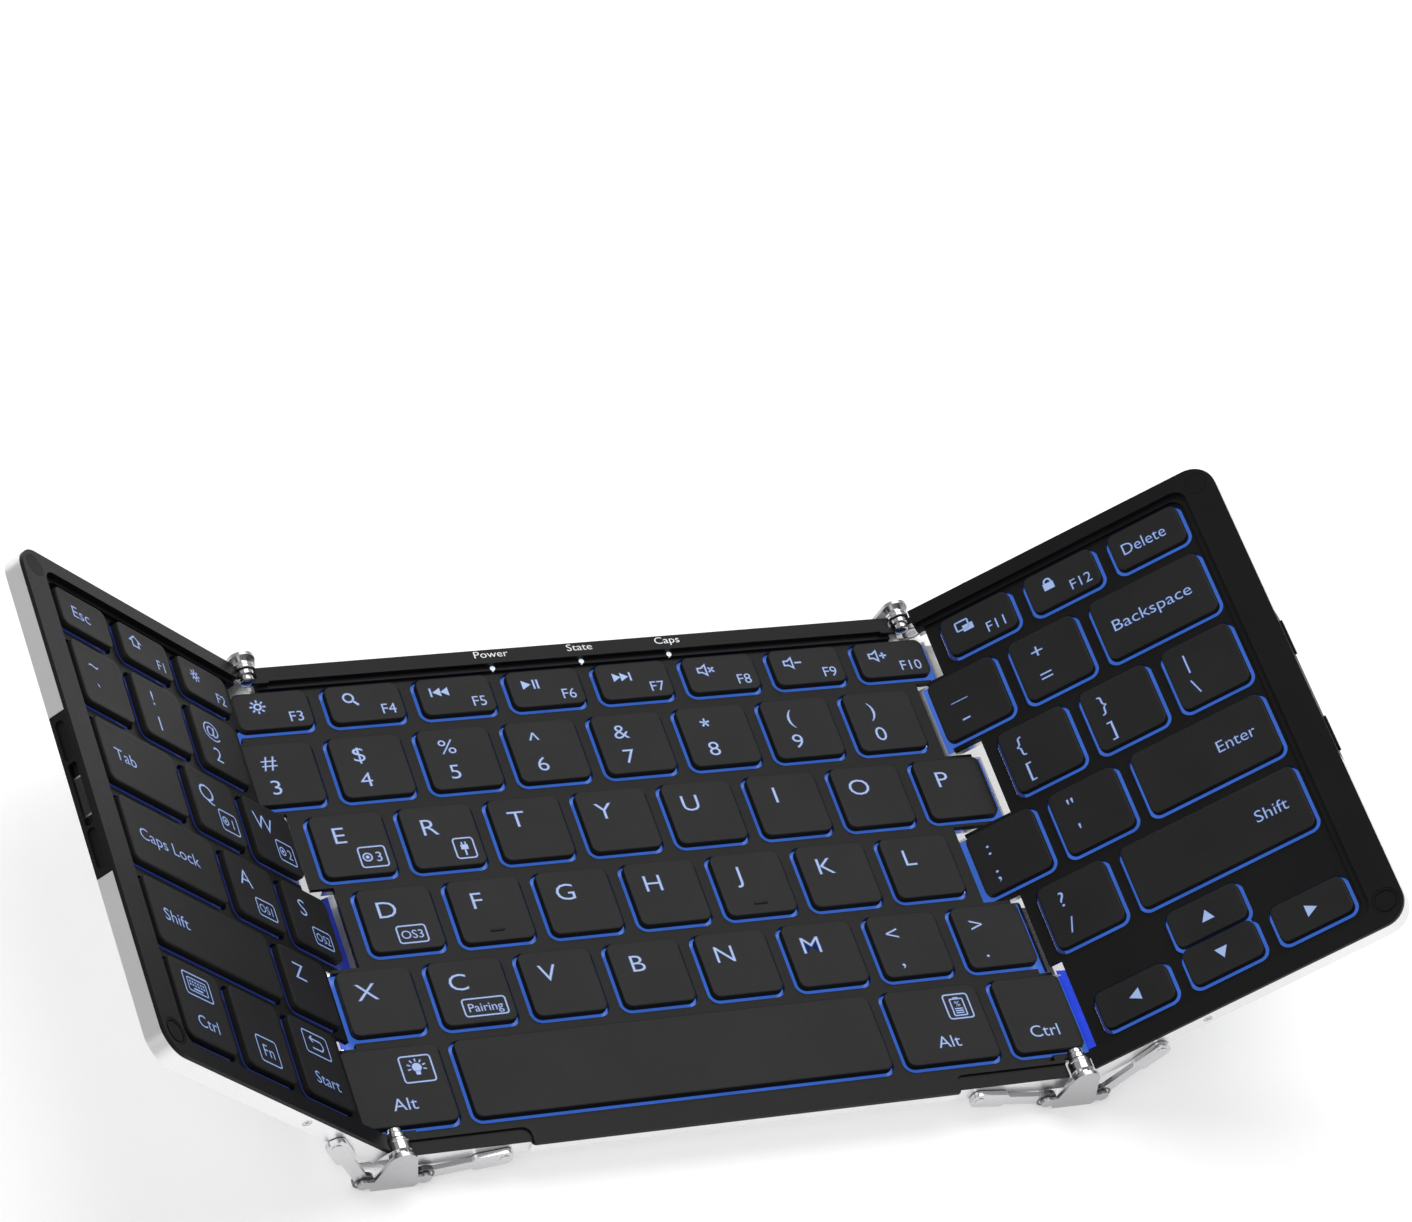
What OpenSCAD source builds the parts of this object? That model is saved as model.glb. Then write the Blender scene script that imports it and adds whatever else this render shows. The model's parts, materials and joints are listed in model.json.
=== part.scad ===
// Folding backlit keyboard in three panels: a centre panel on four hinge feet
// and two wings that close face to face over it.
// Origin: middle of the footprint, on the surface that the hinge feet stand on.
// +X to the right, +Y to the back, +Z up. All lengths are in millimetres.
// Every panel is drawn as it lies when the keyboard is open flat, then each wing
// is turned up about its fold axis by the opening angle that is seen at rest.

/* [Panels] */
// Distance from the middle to each fold axis
axis_x = 73; // [73:0.5:76]
// Depth of the panels, front to back
panel_d = 116; // [116:0.5:120]
// Distance from a fold axis to the outer edge of its wing
wing_w = 72.9; // [72.5:0.1:76]
// Radius of the outer corners of the wings
corner_r = 5.5; // [5:0.5:7]
// Thickness of the aluminium side walls
wall = 1; // [0.8:0.1:1.2]
// Thickness of the floor of a panel
floor_t = 0.5; // [0.4:0.05:0.6]
// How far the middle of the front edge stands out
lip = 0.9; // [0.2:0.1:1.2]
// Distance from the middle to each end of that lip
lip_x = 46.6; // [44:0.2:48]
// Angle that each wing is raised at rest
rest_angle = 40; // [0:1:60]

/* [Heights above the feet] */
// Height of the fold axes
axis_z = 9; // [8.8:0.1:10]
// Height of the tops of the rails
rail_z = 8.6; // [8.4:0.05:8.7]
// Height of the front rail beside the hinges
low_rail_z = 8.1; // [7.9:0.05:8.2]
// Height of the top of the aluminium walls
shell_z = 7.75; // [7.6:0.05:7.9]
// Height of the step between the rails and the keys
ledge_z = 7.4; // [7.1:0.05:7.5]
// Height of the deck between the keys
deck_z = 6.6; // [6.4:0.05:6.8]
// Height of the lower face of the deck
deck_under_z = 5.4; // [5.3:0.05:5.6]
// Height of the lower edge of the side walls
rim_z = 4.1; // [3.8:0.1:4.3]
// Height of the lowest face of each belly
belly_z = 1.6; // [1.2:0.1:2.4]

/* [Keys] */
// Spacing of the keys along a row
pitch = 19; // [18.9:0.05:19.1]
// Width of a square key
key_w = 15.4; // [15:0.05:15.5]
// Spacing of the keys in the function row
f_pitch = 19.7; // [19.6:0.05:19.75]
// Width of a function key
f_key_w = 16; // [15.6:0.05:16.1]
// Depth of a function key
f_key_d = 9.2; // [8.6:0.1:9.4]
// Depth of a key in the bottom row
bottom_key_d = 17.8; // [17:0.1:18]
// Depth of a half-height arrow key
arrow_key_d = 8.6; // [8:0.05:8.7]
// Height of the key tops
key_z = 8; // [7.8:0.05:8.2]
// Height of the lower edge of a key
key_under_z = 6.5; // [6.4:0.05:6.6]
// Corner radius of a key
key_r = 1.7; // [1:0.1:2.2]
// Gap between a key and its pocket
key_gap = 0.72; // [0.5:0.02:0.8]
// Distance from the back of a panel to the function row
back_margin = 5.6; // [5.4:0.05:5.7]
// Distance from the front of a panel to the bottom row
front_margin = 6.6; // [6.5:0.05:6.8]
// Gap between the rows of square keys
row_gap = 3.41; // [3.3:0.01:3.5]
// Gap between the bottom row and the row behind it
bottom_gap = 3.15; // [3.1:0.05:3.4]
// Gap between the outermost keys and the step inside the outer rail
side_gap = 1.5; // [1.3:0.05:1.8]

/* [Fold line] */
// How far the low shelf of a tooth reaches beyond its key
shelf = 2.3; // [2:0.05:2.3]
// How far the aluminium reaches beyond a key where the other panel has the tooth
shell_cover = 0.7; // [0.65:0.05:0.75]
// How far the deck reaches beyond a key there, over the shelf of that tooth
web = 3.3; // [2.8:0.05:3.3]
// How far the deck of a tooth stops short of the edge of its key
deck_back = 0.3; // [0.2:0.05:0.4]
// Gap between that deck and the shelf below it
web_gap = 0.3; // [0.25:0.05:0.4]
// Thickness of the low wall along the stepped edge
fold_wall = 0.5; // [0.4:0.05:0.6]
// Gap between the teeth of two panels, front to back
tooth_gap = 0.6; // [0.5:0.05:0.8]
// Distance from a fold axis to the ends of the rails
rail_gap = 2.5; // [2.4:0.1:3]

/* [Rails] */
// Width of the back rail
back_rail = 3.4; // [3:0.1:3.6]
// Width of the front rail
front_rail = 3.8; // [3.5:0.1:4]
// Width of the ridge behind the low part of the front rail
ridge = 0.8; // [0.6:0.1:1]
// Width of the outer rail of a wing
side_rail = 6.9; // [6.5:0.1:7.2]
// Width of the step inside the back and front rails
ledge_w = 1.1; // [0.9:0.1:1.2]
// Width of the step inside the outer rail
side_ledge_w = 1.4; // [1.2:0.1:1.6]

/* [Hinges] */
// Gap between a lever and what it slides along
lever_gap = 0.15; // [0.1:0.05:0.2]
// Radius of a hinge pin
pin_r = 0.8; // [0.7:0.05:0.9]
// Running gap between a pin and what turns on it
pin_gap = 0.04; // [0.02:0.01:0.08]
// Outer radius of the knuckles on the pins
knuckle_r = 1.5; // [1.4:0.05:1.6]
// Length of one knuckle
knuckle_l = 1.1; // [0.9:0.05:1.15]
// Distance from the front of the panels to the inner end of the knuckles
front_knuckle_in = 5.1; // [4.9:0.05:5.1]
// Distance from the back of the panels to the inner end of the knuckles
back_knuckle_in = 3.8; // [3.7:0.05:3.9]
// Radius of the collar behind a bracket
collar_r = 2.1; // [1.8:0.05:2.15]
// Thickness of a lever
lever_t = 1.05; // [0.9:0.05:1.2]
// Thickness of the face of a bracket
bracket_t = 0.75; // [0.7:0.05:1]
// Radius of the top of a bracket
bracket_top_r = 2.9; // [2.6:0.1:3.1]
// Half of the width of a bracket at its foot
bracket_foot_x = 4.8; // [4.4:0.1:5.2]
// Sideways distance from a fold axis to a lever pivot
pivot_x = 6.2; // [6:0.05:6.4]
// Distance from a fold axis down to a lever pivot
pivot_drop = 6.8; // [6.7:0.05:6.8]
// Radius of the round end of a lever on its pivot
eye_r = 2.1; // [1.9:0.05:2.15]
// Length of a lever from its pivot to its sliding end
lever_l = 16.1; // [15.9:0.05:16.2]
// Angle of a lever on the centre panel
centre_lever_angle = 9; // [8:0.5:10]
// Angle of a lever on a wing, from level
wing_lever_angle = 57.7; // [56:0.1:59]

/* [Inside] */
// Thickness of the steel sheet under the keys
support_t = 0.25; // [0.2:0.01:0.25]
// Thickness of the switch membrane
membrane_t = 0.2; // [0.15:0.01:0.2]
// Thickness of the light guide
guide_t = 0.25; // [0.2:0.01:0.25]
// Distance from a fold axis to the belly
belly_inset = 9; // [8.5:0.5:12]
// Distance from the front and the back of a panel to its belly
belly_margin = 6; // [6:0.5:10]
// Length of the battery, front to back
battery_l = 70; // [40:1:80]
// Gap beside the battery, on the floor of the belly
battery_gap = 2; // [1:0.5:8]
// Thickness of the battery
battery_t = 2; // [1:0.1:2.1]
// Gap around the main board, on the floor of the belly
board_gap = 3; // [1:0.5:6]
// Thickness of the main board
board_t = 0.8; // [0.6:0.1:1.2]
// Width of the ribbon through the centre panel
ribbon_w = 16; // [8:1:24]

/* [Edge inserts] */
// Length of the black insert in the outer edge of a wing
insert_l = 37; // [35:0.5:40]
// Length of the mouth of the charging port
mouth_l = 14.2; // [12:0.1:15]
// Height of the mouth of the charging port
mouth_h = 2; // [1.8:0.1:2.2]
// Length of each of the two catches beside it
catch_l = 8.6; // [7:0.1:9]
// Height of a catch
catch_h = 1.6; // [1.2:0.1:1.7]
// How far a catch stands out of the right wing
catch_out = 0.5; // [0.3:0.05:0.5]

/* [Hidden] */

// the three panels
LEFT = -1;
CENTRE = 0;
RIGHT = 1;
FRONT = -1;
BACK = 1;

half_d = panel_d / 2;
out_x = axis_x + wing_w;
field_x = out_x - side_rail - side_ledge_w - side_gap;
seat = 0.1;              // gap between a frame and the walls around it
cut = 1;                 // how far a cutting shape runs past what it cuts

// places of the first centre key of each row, from its left edge
f_x = -77.1;
number_x = -79.1;
upper_x = -69.45;
home_x = -64.75;
lower_x = -74.2;
// left edge and width of each key of the bottom row of the centre panel
left_alt = [-78.7, 20.4];
space = [-55.1, 89];
right_alt = [37.3, 20.6];
right_ctrl = [61.4, 15.4];

// the four rows of square keys share what the other two rows leave
bottom_front_y = -half_d + front_margin;
lower_front_y = bottom_front_y + bottom_key_d + bottom_gap;
f_front_y = half_d - back_margin - f_key_d;
row_pitch = (f_front_y - lower_front_y) / 4;
key_d = row_pitch - row_gap;

// deck limits, front and back
deck_back_y = half_d - back_rail - ledge_w;
deck_front_y = -half_d + front_rail + ledge_w;
field_out_x = out_x - side_rail - side_ledge_w;
bottom_band_y = deck_front_y + 0.5;

// heights inside a panel
floor_z = rim_z + floor_t;
support_z = floor_z;
membrane_z = support_z + support_t;
guide_z = membrane_z + membrane_t;
guide_top_z = guide_z + guide_t;
fold_wall_z = guide_top_z + 0.05;
web_under_z = fold_wall_z + web_gap;
belly_floor_z = belly_z + 0.7;
belly_slope = 7;         // run of the sloping sides of a belly

// layers of a hinge, from the middle of the keyboard outwards
lever_y = half_d + lever_gap;
plate_y = lever_y + lever_t + lever_gap;
plate_out_y = plate_y + bracket_t;

// ---- rows ------------------------------------------------------------------

function row_front(r) = r == 0 ? f_front_y : r == 5 ? bottom_front_y
    : lower_front_y + (4 - r) * row_pitch;
function row_depth(r) = r == 0 ? f_key_d : r == 5 ? bottom_key_d : key_d;
function row_back(r) = row_front(r) + row_depth(r);
function row_mid(r) = (row_front(r) + row_back(r + 1)) / 2;

// a key is [left edge, width, front edge, depth]
function key(x, w, r) = [x, w, row_front(r), row_depth(r)];
function run(x0, step, w, ks, r) = [for (k = ks) key(x0 + k * step, w, r)];
// the outermost key fills the row to the edge of the field
function left_end(x0, n, step, w, r) = key(-field_x, x0 - n * step + w + field_x, r);
function right_end(x0, n, step, r) = key(x0 + n * step, field_x - x0 - n * step, r);

function centre_keys(r) =
    r == 0 ? run(f_x, f_pitch, f_key_w, [0:7], r) :
    r == 1 ? run(number_x, pitch, key_w, [0:7], r) :
    r == 2 ? run(upper_x, pitch, key_w, [0:7], r) :
    r == 3 ? run(home_x, pitch, key_w, [0:6], r) :
    r == 4 ? run(lower_x, pitch, key_w, [0:7], r) :
    [for (k = [left_alt, space, right_alt, right_ctrl]) key(k[0], k[1], r)];

function left_keys(r) =
    r == 0 ? concat([left_end(f_x, 3, f_pitch, f_key_w, r)],
        run(f_x, f_pitch, f_key_w, [-2:-1], r)) :
    r == 1 || r == 5 ? concat([left_end(number_x, 3, pitch, key_w, r)],
        run(number_x, pitch, key_w, [-2:-1], r)) :
    r == 2 ? concat([left_end(upper_x, 3, pitch, key_w, r)],
        run(upper_x, pitch, key_w, [-2:-1], r)) :
    r == 3 ? concat([left_end(home_x, 3, pitch, key_w, r)],
        run(home_x, pitch, key_w, [-2:-1], r)) :
    concat([left_end(lower_x, 2, pitch, key_w, r)], run(lower_x, pitch, key_w, [-1:-1], r));

// an arrow key is half as deep as its row: [left edge, width, front edge, depth]
function arrow(k, back) = [k[0], k[1], k[2] + back * (k[3] - arrow_key_d), arrow_key_d];
function right_keys(r) =
    r == 0 ? concat(run(f_x, f_pitch, f_key_w, [8:9], r), [right_end(f_x, 10, f_pitch, r)]) :
    r == 1 ? concat(run(number_x, pitch, key_w, [8:9], r), [right_end(number_x, 10, pitch, r)]) :
    r == 2 ? concat(run(upper_x, pitch, key_w, [8:9], r), [right_end(upper_x, 10, pitch, r)]) :
    r == 3 ? concat(run(home_x, pitch, key_w, [7:8], r), [right_end(home_x, 9, pitch, r)]) :
    r == 4 ? concat(run(lower_x, pitch, key_w, [8:8], r), [right_end(lower_x, 9, pitch, r)]) :
    concat([for (k = run(f_x, f_pitch, f_key_w, [8:9], r)) arrow(k, 0)],
        [arrow(right_end(f_x, 10, f_pitch, r), 0),
        arrow(key(f_x + 9 * f_pitch, f_key_w, r), 1)]);

function keys(p, r) = p == CENTRE ? centre_keys(r) : p == LEFT ? left_keys(r) : right_keys(r);

// ---- outline of a panel: eight bands, from the back rail to the front rail ------

function lefts(p, r) = [for (k = keys(p, r)) k[0]];
function rights(p, r) = [for (k = keys(p, r)) k[0] + k[1]];
function band_y(b) =
    b == 0 ? [row_back(0) + key_gap + 0.3, half_d] :
    b == 7 ? [-half_d, bottom_band_y] :
    [b == 6 ? bottom_band_y : row_mid(b - 1), b == 1 ? band_y(0)[0] : row_mid(b - 2)];

// the fold edge of the keys of a panel, in the row r and at the fold on side s
function key_edge(p, s, r) = (p == CENTRE ? s : -s) > 0 ? max(rights(p, r)) : min(lefts(p, r));
// whether the tooth of that row belongs to the centre panel or to the wing
function has_tooth(p, s, r) =
    (s * (key_edge(CENTRE, s, r) + key_edge(s, s, r)) / 2 > axis_x) == (p == CENTRE);

// a panel has a low outline for its aluminium and sheets, and a top one for its deck
LOW = 0;
TOP = 1;
function reach(p, s, r, level) =
    has_tooth(p, s, r) ? (level == TOP ? -deck_back : shelf) : level == TOP ? web : shell_cover;
function fold_edge(p, s, b, level) = let (way = p == CENTRE ? s : -s)
    b == 0 || b == 7 ? s * axis_x - way * rail_gap
    : key_edge(p, s, b - 1) + way * reach(p, s, b - 1, level);
function band_left(p, b, level) = p == LEFT ? -out_x : fold_edge(p, p == RIGHT ? 1 : -1, b, level);
function band_right(p, b, level) = p == RIGHT ? out_x : fold_edge(p, p == LEFT ? -1 : 1, b, level);

module box2(x0, x1, y0, y1) translate([x0, y0]) square([x1 - x0, y1 - y0]);

// the stepped outline, with its fold edges drawn in by inset
module bands(p, level, inset = 0) {
    li = p == LEFT ? 0 : inset;
    ri = p == RIGHT ? 0 : inset;
    g = tooth_gap / 2 + max(inset, 0);
    for (b = [0:7]) {
        y = band_y(b);
        box2(band_left(p, b, level) + li, band_right(p, b, level) - ri,
            y[0] + (b == 7 ? 0 : g), y[1] - (b == 0 ? 0 : g));
    }
    for (b = [0:6])
        box2(max(band_left(p, b, level), band_left(p, b + 1, level)) + li,
            min(band_right(p, b, level), band_right(p, b + 1, level)) - ri,
            band_y(b)[0] - g - cut / 2, band_y(b)[0] + g + cut / 2);
}

module rounded(w, d, r) {
    square([w - 2 * r, d], center = true);
    square([w, d - 2 * r], center = true);
    for (x = [-1, 1], y = [-1, 1]) translate([x * (w / 2 - r), y * (d / 2 - r)]) circle(r, $fn = 48);
}

// the outer limit of all three panels together, drawn in by inset
module limit(inset = 0) rounded(2 * (out_x - inset), 2 * (half_d - inset), corner_r - inset);

// a panel seen from above, with its walls drawn in by inset and its fold edge by fold
module outline(p, level, inset = 0, fold = 0) intersection() {
    bands(p, level, fold);
    limit(inset);
}

// wings are turned up to the rest pose
module place(p) {
    if (p == CENTRE) children();
    else translate([p * axis_x, 0, axis_z]) rotate([0, -p * rest_angle, 0])
        translate([-p * axis_x, 0, -axis_z]) children();
}

module slab(z0, z1) translate([0, 0, z0]) linear_extrude(z1 - z0) children();

// ---- shells ----------------------------------------------------------------

function belly_x(p) = let (fold_x = axis_x - belly_inset, near_x = axis_x + belly_inset)
    p == CENTRE ? [-fold_x, fold_x]
    : p == RIGHT ? [near_x, out_x - belly_slope] : [-out_x + belly_slope, -near_x];

// a tray with sloping sides: inset draws it in, from z0 at the bottom to z1
module tray(p, inset, z0, z1) {
    x = belly_x(p);
    y = half_d - belly_margin - inset;
    run_in = belly_slope * (z1 - z0) / (rim_z - belly_z);
    intersection() {
        translate([0, y, 0]) rotate([90, 0, 0]) linear_extrude(2 * y) polygon([
            [x[0] + inset, z1], [x[0] + inset + run_in, z0],
            [x[1] - inset - run_in, z0], [x[1] - inset, z1]]);
        translate([x[0], 0, 0]) rotate([90, 0, 90]) linear_extrude(x[1] - x[0]) polygon([
            [-y, z1], [-y + run_in, z0], [y - run_in, z0], [y, z1]]);
    }
}

// the level part of the floor inside a belly: left, right and half of the depth
belly_in = wall + belly_slope * (floor_z - belly_floor_z) / (rim_z - belly_z);
function belly_floor(p) = let (x = belly_x(p))
    [x[0] + belly_in, x[1] - belly_in, half_d - belly_margin - belly_in];

screw_x = axis_x + 27;
screw_z = 6.2;
screw_r = 0.9;
module screw_places(p) for (e = [FRONT, BACK]) translate([p * screw_x, e * half_d, screw_z])
    rotate([e * 90, 0, 0]) children();

module insert_gap(p, gap) {
    x = p * (out_x - wall / 2);
    translate([x, 0, (rim_z + shell_z) / 2])
        cube([wall + 2 * gap, insert_l + 2 * gap, shell_z - rim_z + 2 * gap], center = true);
}

module shell(p) {
    difference() {
        union() {
            slab(rim_z, shell_z) outline(p, LOW);
            tray(p, 0, belly_z, rim_z);
            if (p == CENTRE) slab(shell_z - 2.1, shell_z) front_lip();
        }
        slab(floor_z, shell_z + cut) outline(p, LOW, wall, fold_wall);
        slab(fold_wall_z, shell_z + cut) outline(p, LOW, wall, -cut);
        tray(p, wall, belly_floor_z, floor_z + 0.01);
        if (p != CENTRE) {
            screw_places(p) translate([0, 0, -0.1]) cylinder(r = screw_r + 0.05, h = 0.7, $fn = 32);
            insert_gap(p, 0);
        }
    }
}

module front_lip() {
    box2(-lip_x + 1.5, lip_x - 1.5, -half_d - lip, -half_d);
    for (s = [-1, 1]) intersection() {
        translate([s * (lip_x - 1.5), -half_d]) circle(lip, $fn = 32);
        box2(s > 0 ? lip_x - 1.5 : -lip_x, s > 0 ? lip_x : -lip_x + 1.5, -half_d - lip, -half_d);
    }
}

// ---- frames ----------------------------------------------------------------

// the opening inside the rails, drawn in by back, front and side
module opening(back, front, side) {
    r = 3;
    x = out_x - side;
    y0 = -half_d + front;
    y1 = half_d - back;
    translate([0, (y0 + y1) / 2]) rounded(2 * x, y1 - y0, r);
}

module key_shape(k, grow) translate([k[0] + k[1] / 2, k[2] + k[3] / 2])
    rounded(k[1] + 2 * grow, k[3] + 2 * grow, key_r + grow);

// the pockets of one row; a pocket in a tooth is open at the end of the tooth
module pockets(p, r) {
    for (k = keys(p, r)) key_shape(k, key_gap);
    for (s = p == CENTRE ? [-1, 1] : [p]) if (has_tooth(p, s, r)) {
        x = key_edge(p, s, r);
        translate([x, row_front(r) - key_gap])
            translate([-key_w / 2, 0]) square([key_w, row_depth(r) + 2 * key_gap]);
    }
}

// a knuckle on the fold axis with its arm to the rail; slot 0 is nearest the keys
module knuckle(p, s, e, slot) {
    y0 = knuckle_start(e) + slot * (knuckle_l + seat);
    side = p == CENTRE ? -s : s;
    translate([s * axis_x, e * (y0 + knuckle_l / 2), axis_z]) difference() {
        union() {
            rotate([90, 0, 0]) cylinder(r = knuckle_r, h = knuckle_l, center = true, $fn = 48);
            translate([side * (rail_gap + 0.6) / 2, 0, (rail_z + shell_z) / 2 - axis_z])
                cube([rail_gap + 0.6, knuckle_l, rail_z - shell_z], center = true);
        }
        rotate([90, 0, 0]) cylinder(r = pin_r + pin_gap, h = knuckle_l + cut, center = true, $fn = 48);
    }
}
function knuckle_start(e) = half_d - (e == FRONT ? front_knuckle_in : back_knuckle_in);

// corner pads: distance across, distance back, radius
pad_back = [out_x - 3.9, half_d - 4, 2.4];
pad_front = [out_x - 3.8, -half_d + 4.9, 2.9];
pad_depth = 0.55;

module frame(p) {
    w = wall + seat;
    difference() {
        union() {
            slab(deck_under_z, deck_z) intersection() {
                outline(p, LOW, w);
                outline(p, TOP, w);
            }
            slab(web_under_z, deck_z) outline(p, TOP, w);
            slab(web_under_z, ledge_z) difference() {
                outline(p, TOP, w);
                opening(back_rail + ledge_w, front_rail + ledge_w, side_rail + side_ledge_w);
            }
            slab(deck_z, shell_z) difference() {
                outline(p, TOP, w);
                opening(back_rail, front_rail, side_rail);
            }
            slab(shell_z, rail_z) difference() {
                union() {
                    outline(p, TOP);
                    if (p == CENTRE) front_lip();
                }
                opening(back_rail, front_rail, side_rail);
            }
            for (s = p == CENTRE ? [-1, 1] : [p], e = [FRONT, BACK])
                knuckle(p, s, e, p == CENTRE ? 0 : 1);
            if (p == CENTRE) for (s = [-1, 1], e = [FRONT, BACK]) {
                slab(deck_z, shell_z) rail_block(s, e, w);
                slab(shell_z, rail_z) rail_block(s, e, 0);
            }
        }
        slab(deck_under_z - cut, deck_z + cut) for (r = [0:5]) pockets(p, r);
        if (p == CENTRE) for (s = [-1, 1]) slab(low_rail_z, rail_z + cut) front_notch(s);
        if (p == CENTRE) lamp_places() cylinder(r = lamp_r + 0.03, h = 1, center = true, $fn = 24);
        if (p == LEFT) translate([-out_x, 0, port_z + port_h / 2])
            cube([2 * (port_out + port_l + 0.3), port_w + 0.4, port_h + 0.2], center = true);
        if (p != CENTRE) for (pad = [pad_back, pad_front])
            translate([p * pad[0], pad[1], rail_z - pad_depth])
                cylinder(r = pad[2] + 0.05, h = cut, $fn = 48);
    }
}

// the solid end of a rail of the centre panel, which carries its knuckle
rail_end = 2.2;
module rail_block(s, e, inset) {
    y0 = e * knuckle_start(e);
    y1 = e * (half_d - inset);
    translate([s * (axis_x - rail_gap - rail_end / 2), 0])
        box2(-rail_end / 2, rail_end / 2, min(y0, y1), max(y0, y1));
}

// the front rail is lower beside the hinges, with a round corner at its inner end
module front_notch(s) {
    r = 1.8;
    x0 = lip_x - 1;
    x1 = axis_x - rail_gap + cut;
    y1 = -half_d + front_rail - ridge;
    mirror([s < 0 ? 1 : 0, 0]) {
        box2(x0 + r, x1, -half_d - cut, y1);
        box2(x0, x1, -half_d - cut, y1 - r);
        translate([x0 + r, y1 - r]) circle(r, $fn = 48);
    }
}

// ---- sheets under the keys ---------------------------------------------------

module sheet(p, z, t) slab(z, z + t) intersection() {
    bands(p, LOW, fold_wall + seat);
    translate([0, (deck_back_y + deck_front_y) / 2])
        rounded(2 * field_out_x, deck_back_y - deck_front_y, 3);
}

module light_guide(p) place(p) color([0.1, 0.3, 1]) sheet(p, guide_z, guide_t);
module membrane(p) place(p) color([0.75, 0.8, 0.75]) sheet(p, membrane_z, membrane_t);
module support(p) place(p) color([0.6, 0.6, 0.62]) sheet(p, support_z, support_t);

// ---- keys --------------------------------------------------------------------

module key_row(p, r) place(p) color([0.13, 0.13, 0.14])
    slab(key_under_z, key_z) for (k = keys(p, r)) key_shape(k, 0);

module centre_bottom_keys() color([0.13, 0.13, 0.14]) slab(key_under_z, key_z)
    for (k = centre_keys(5)) if (k[0] != space[0]) key_shape(k, 0);

module space_bar() color([0.13, 0.13, 0.14]) slab(key_under_z, key_z)
    key_shape(key(space[0], space[1], 5), 0);

// ---- small parts on the panels -----------------------------------------------

lamp_r = 0.55;
lamp_step = 19.7;
module lamp_places() for (k = [-1:1])
    translate([k * lamp_step, deck_back_y + ledge_w / 2, ledge_z]) children();
module status_lamps() color([0.9, 0.95, 1]) lamp_places()
    translate([0, 0, -0.2]) cylinder(r = lamp_r, h = 0.5, center = true, $fn = 24);

module corner_pads(p) place(p) color([0.08, 0.08, 0.09]) {
    translate([p * pad_back[0], pad_back[1], rail_z - pad_depth])
        cylinder(r = pad_back[2], h = pad_depth, $fn = 48);
    translate([p * pad_front[0], pad_front[1], rail_z - pad_depth]) difference() {
        cylinder(r = pad_front[2], h = pad_depth - 0.1, $fn = 48);
        translate([0, 0, 0.25]) difference() {
            cylinder(r = pad_front[2] - 0.45, h = 1, $fn = 48);
            translate([0, 0, -cut]) cylinder(r = pad_front[2] - 0.85, h = 3, $fn = 48);
        }
    }
}

module screws(p) place(p) color([0.75, 0.75, 0.77]) screw_places(p) difference() {
    translate([0, 0, 0.05]) cylinder(r = screw_r, h = 0.5, $fn = 32);
    translate([0, 0, 0]) cylinder(r = 0.4, h = 0.3, $fn = 6);
}

module edge_insert(p) place(p) color([0.07, 0.07, 0.08]) {
    x = out_x - wall;
    mid_z = (rim_z + shell_z) / 2;
    difference() {
        union() {
            translate([p * (x + wall / 2), 0, mid_z])
                cube([wall, insert_l - 2 * seat, shell_z - rim_z - 0.05], center = true);
            if (p == RIGHT) catches(p, 0);
        }
        if (p == LEFT) {
            catches(p, catch_gap);
            translate([-x - wall / 2, 0, port_z + port_h / 2]) rotate([90, 0, 90])
                linear_extrude(wall + cut, center = true) rounded(mouth_l, mouth_h, 0.7);
        }
    }
}

// the catches of the right wing seat in recesses of the left wing when both are closed
catch_gap = 0.25;
catch_y = mouth_l / 2 + 0.9 + catch_l / 2;
module catches(p, gap) for (s = [-1, 1])
    translate([p * out_x, s * catch_y, (rim_z + shell_z) / 2]) rotate([90, 0, 90])
        linear_extrude(2 * catch_out, center = true)
            rounded(catch_l + 2 * gap, catch_h + 2 * gap, catch_h / 2 + gap - 0.01);

// charging port, a folded steel sleeve that opens to the left
port_out = wall + seat;  // from the outer edge of the wing
port_l = 5.6;
port_w = 9;
port_z = floor_z + 0.05;
port_h = 2.8;
port_skin = 0.4;
module charging_port() place(LEFT) color([0.7, 0.7, 0.72])
    translate([-out_x + port_out + port_l / 2, 0, port_z + port_h / 2]) difference() {
        cube([port_l, port_w, port_h], center = true);
        translate([-port_skin - cut, 0, 0])
            cube([port_l + 2 * cut, port_w - 2 * port_skin, port_h - 2 * port_skin], center = true);
    }

// what lies on the floor of a belly: gap beside it, half of its depth, thickness
module on_floor(p, gap, y, t) let (f = belly_floor(p))
    slab(belly_floor_z, belly_floor_z + t) box2(f[0] + gap, f[1] - gap, -y, y);

chip_h = 0.9;
module main_board() place(LEFT) color([0.05, 0.3, 0.15]) {
    f = belly_floor(LEFT);
    on_floor(LEFT, board_gap, f[2] - board_gap, board_t);
    translate([(f[0] + f[1]) / 2, 0, belly_floor_z + board_t]) {
        translate([-9, -14, 0]) cube([9, 9, chip_h]);
        translate([2, 8, 0]) cube([6, 8, chip_h]);
    }
}

module battery() place(RIGHT) color([0.75, 0.76, 0.78])
    on_floor(RIGHT, battery_gap, battery_l / 2, battery_t);

module centre_ribbon() color([0.75, 0.45, 0.15]) on_floor(CENTRE, 2, ribbon_w / 2, 0.3);

// ---- hinges ------------------------------------------------------------------

// drawn for the right fold and the front, then mirrored to the other corners
module corner(s, e) translate([s * axis_x, 0, axis_z]) scale_side(s, e) children();
module scale_side(s, e) mirror([s < 0 ? 1 : 0, 0, 0]) mirror([0, e > 0 ? 1 : 0, 0]) children();
module along(y0, y1) translate([0, -y0, 0]) rotate([90, 0, 0]) linear_extrude(y1 - y0) children();

module hinge_pins() color([0.8, 0.8, 0.82]) for (s = [-1, 1], e = [FRONT, BACK])
    corner(s, e) along(knuckle_start(e) - 0.2, plate_y + 0.5) circle(pin_r, $fn = 48);

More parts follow.
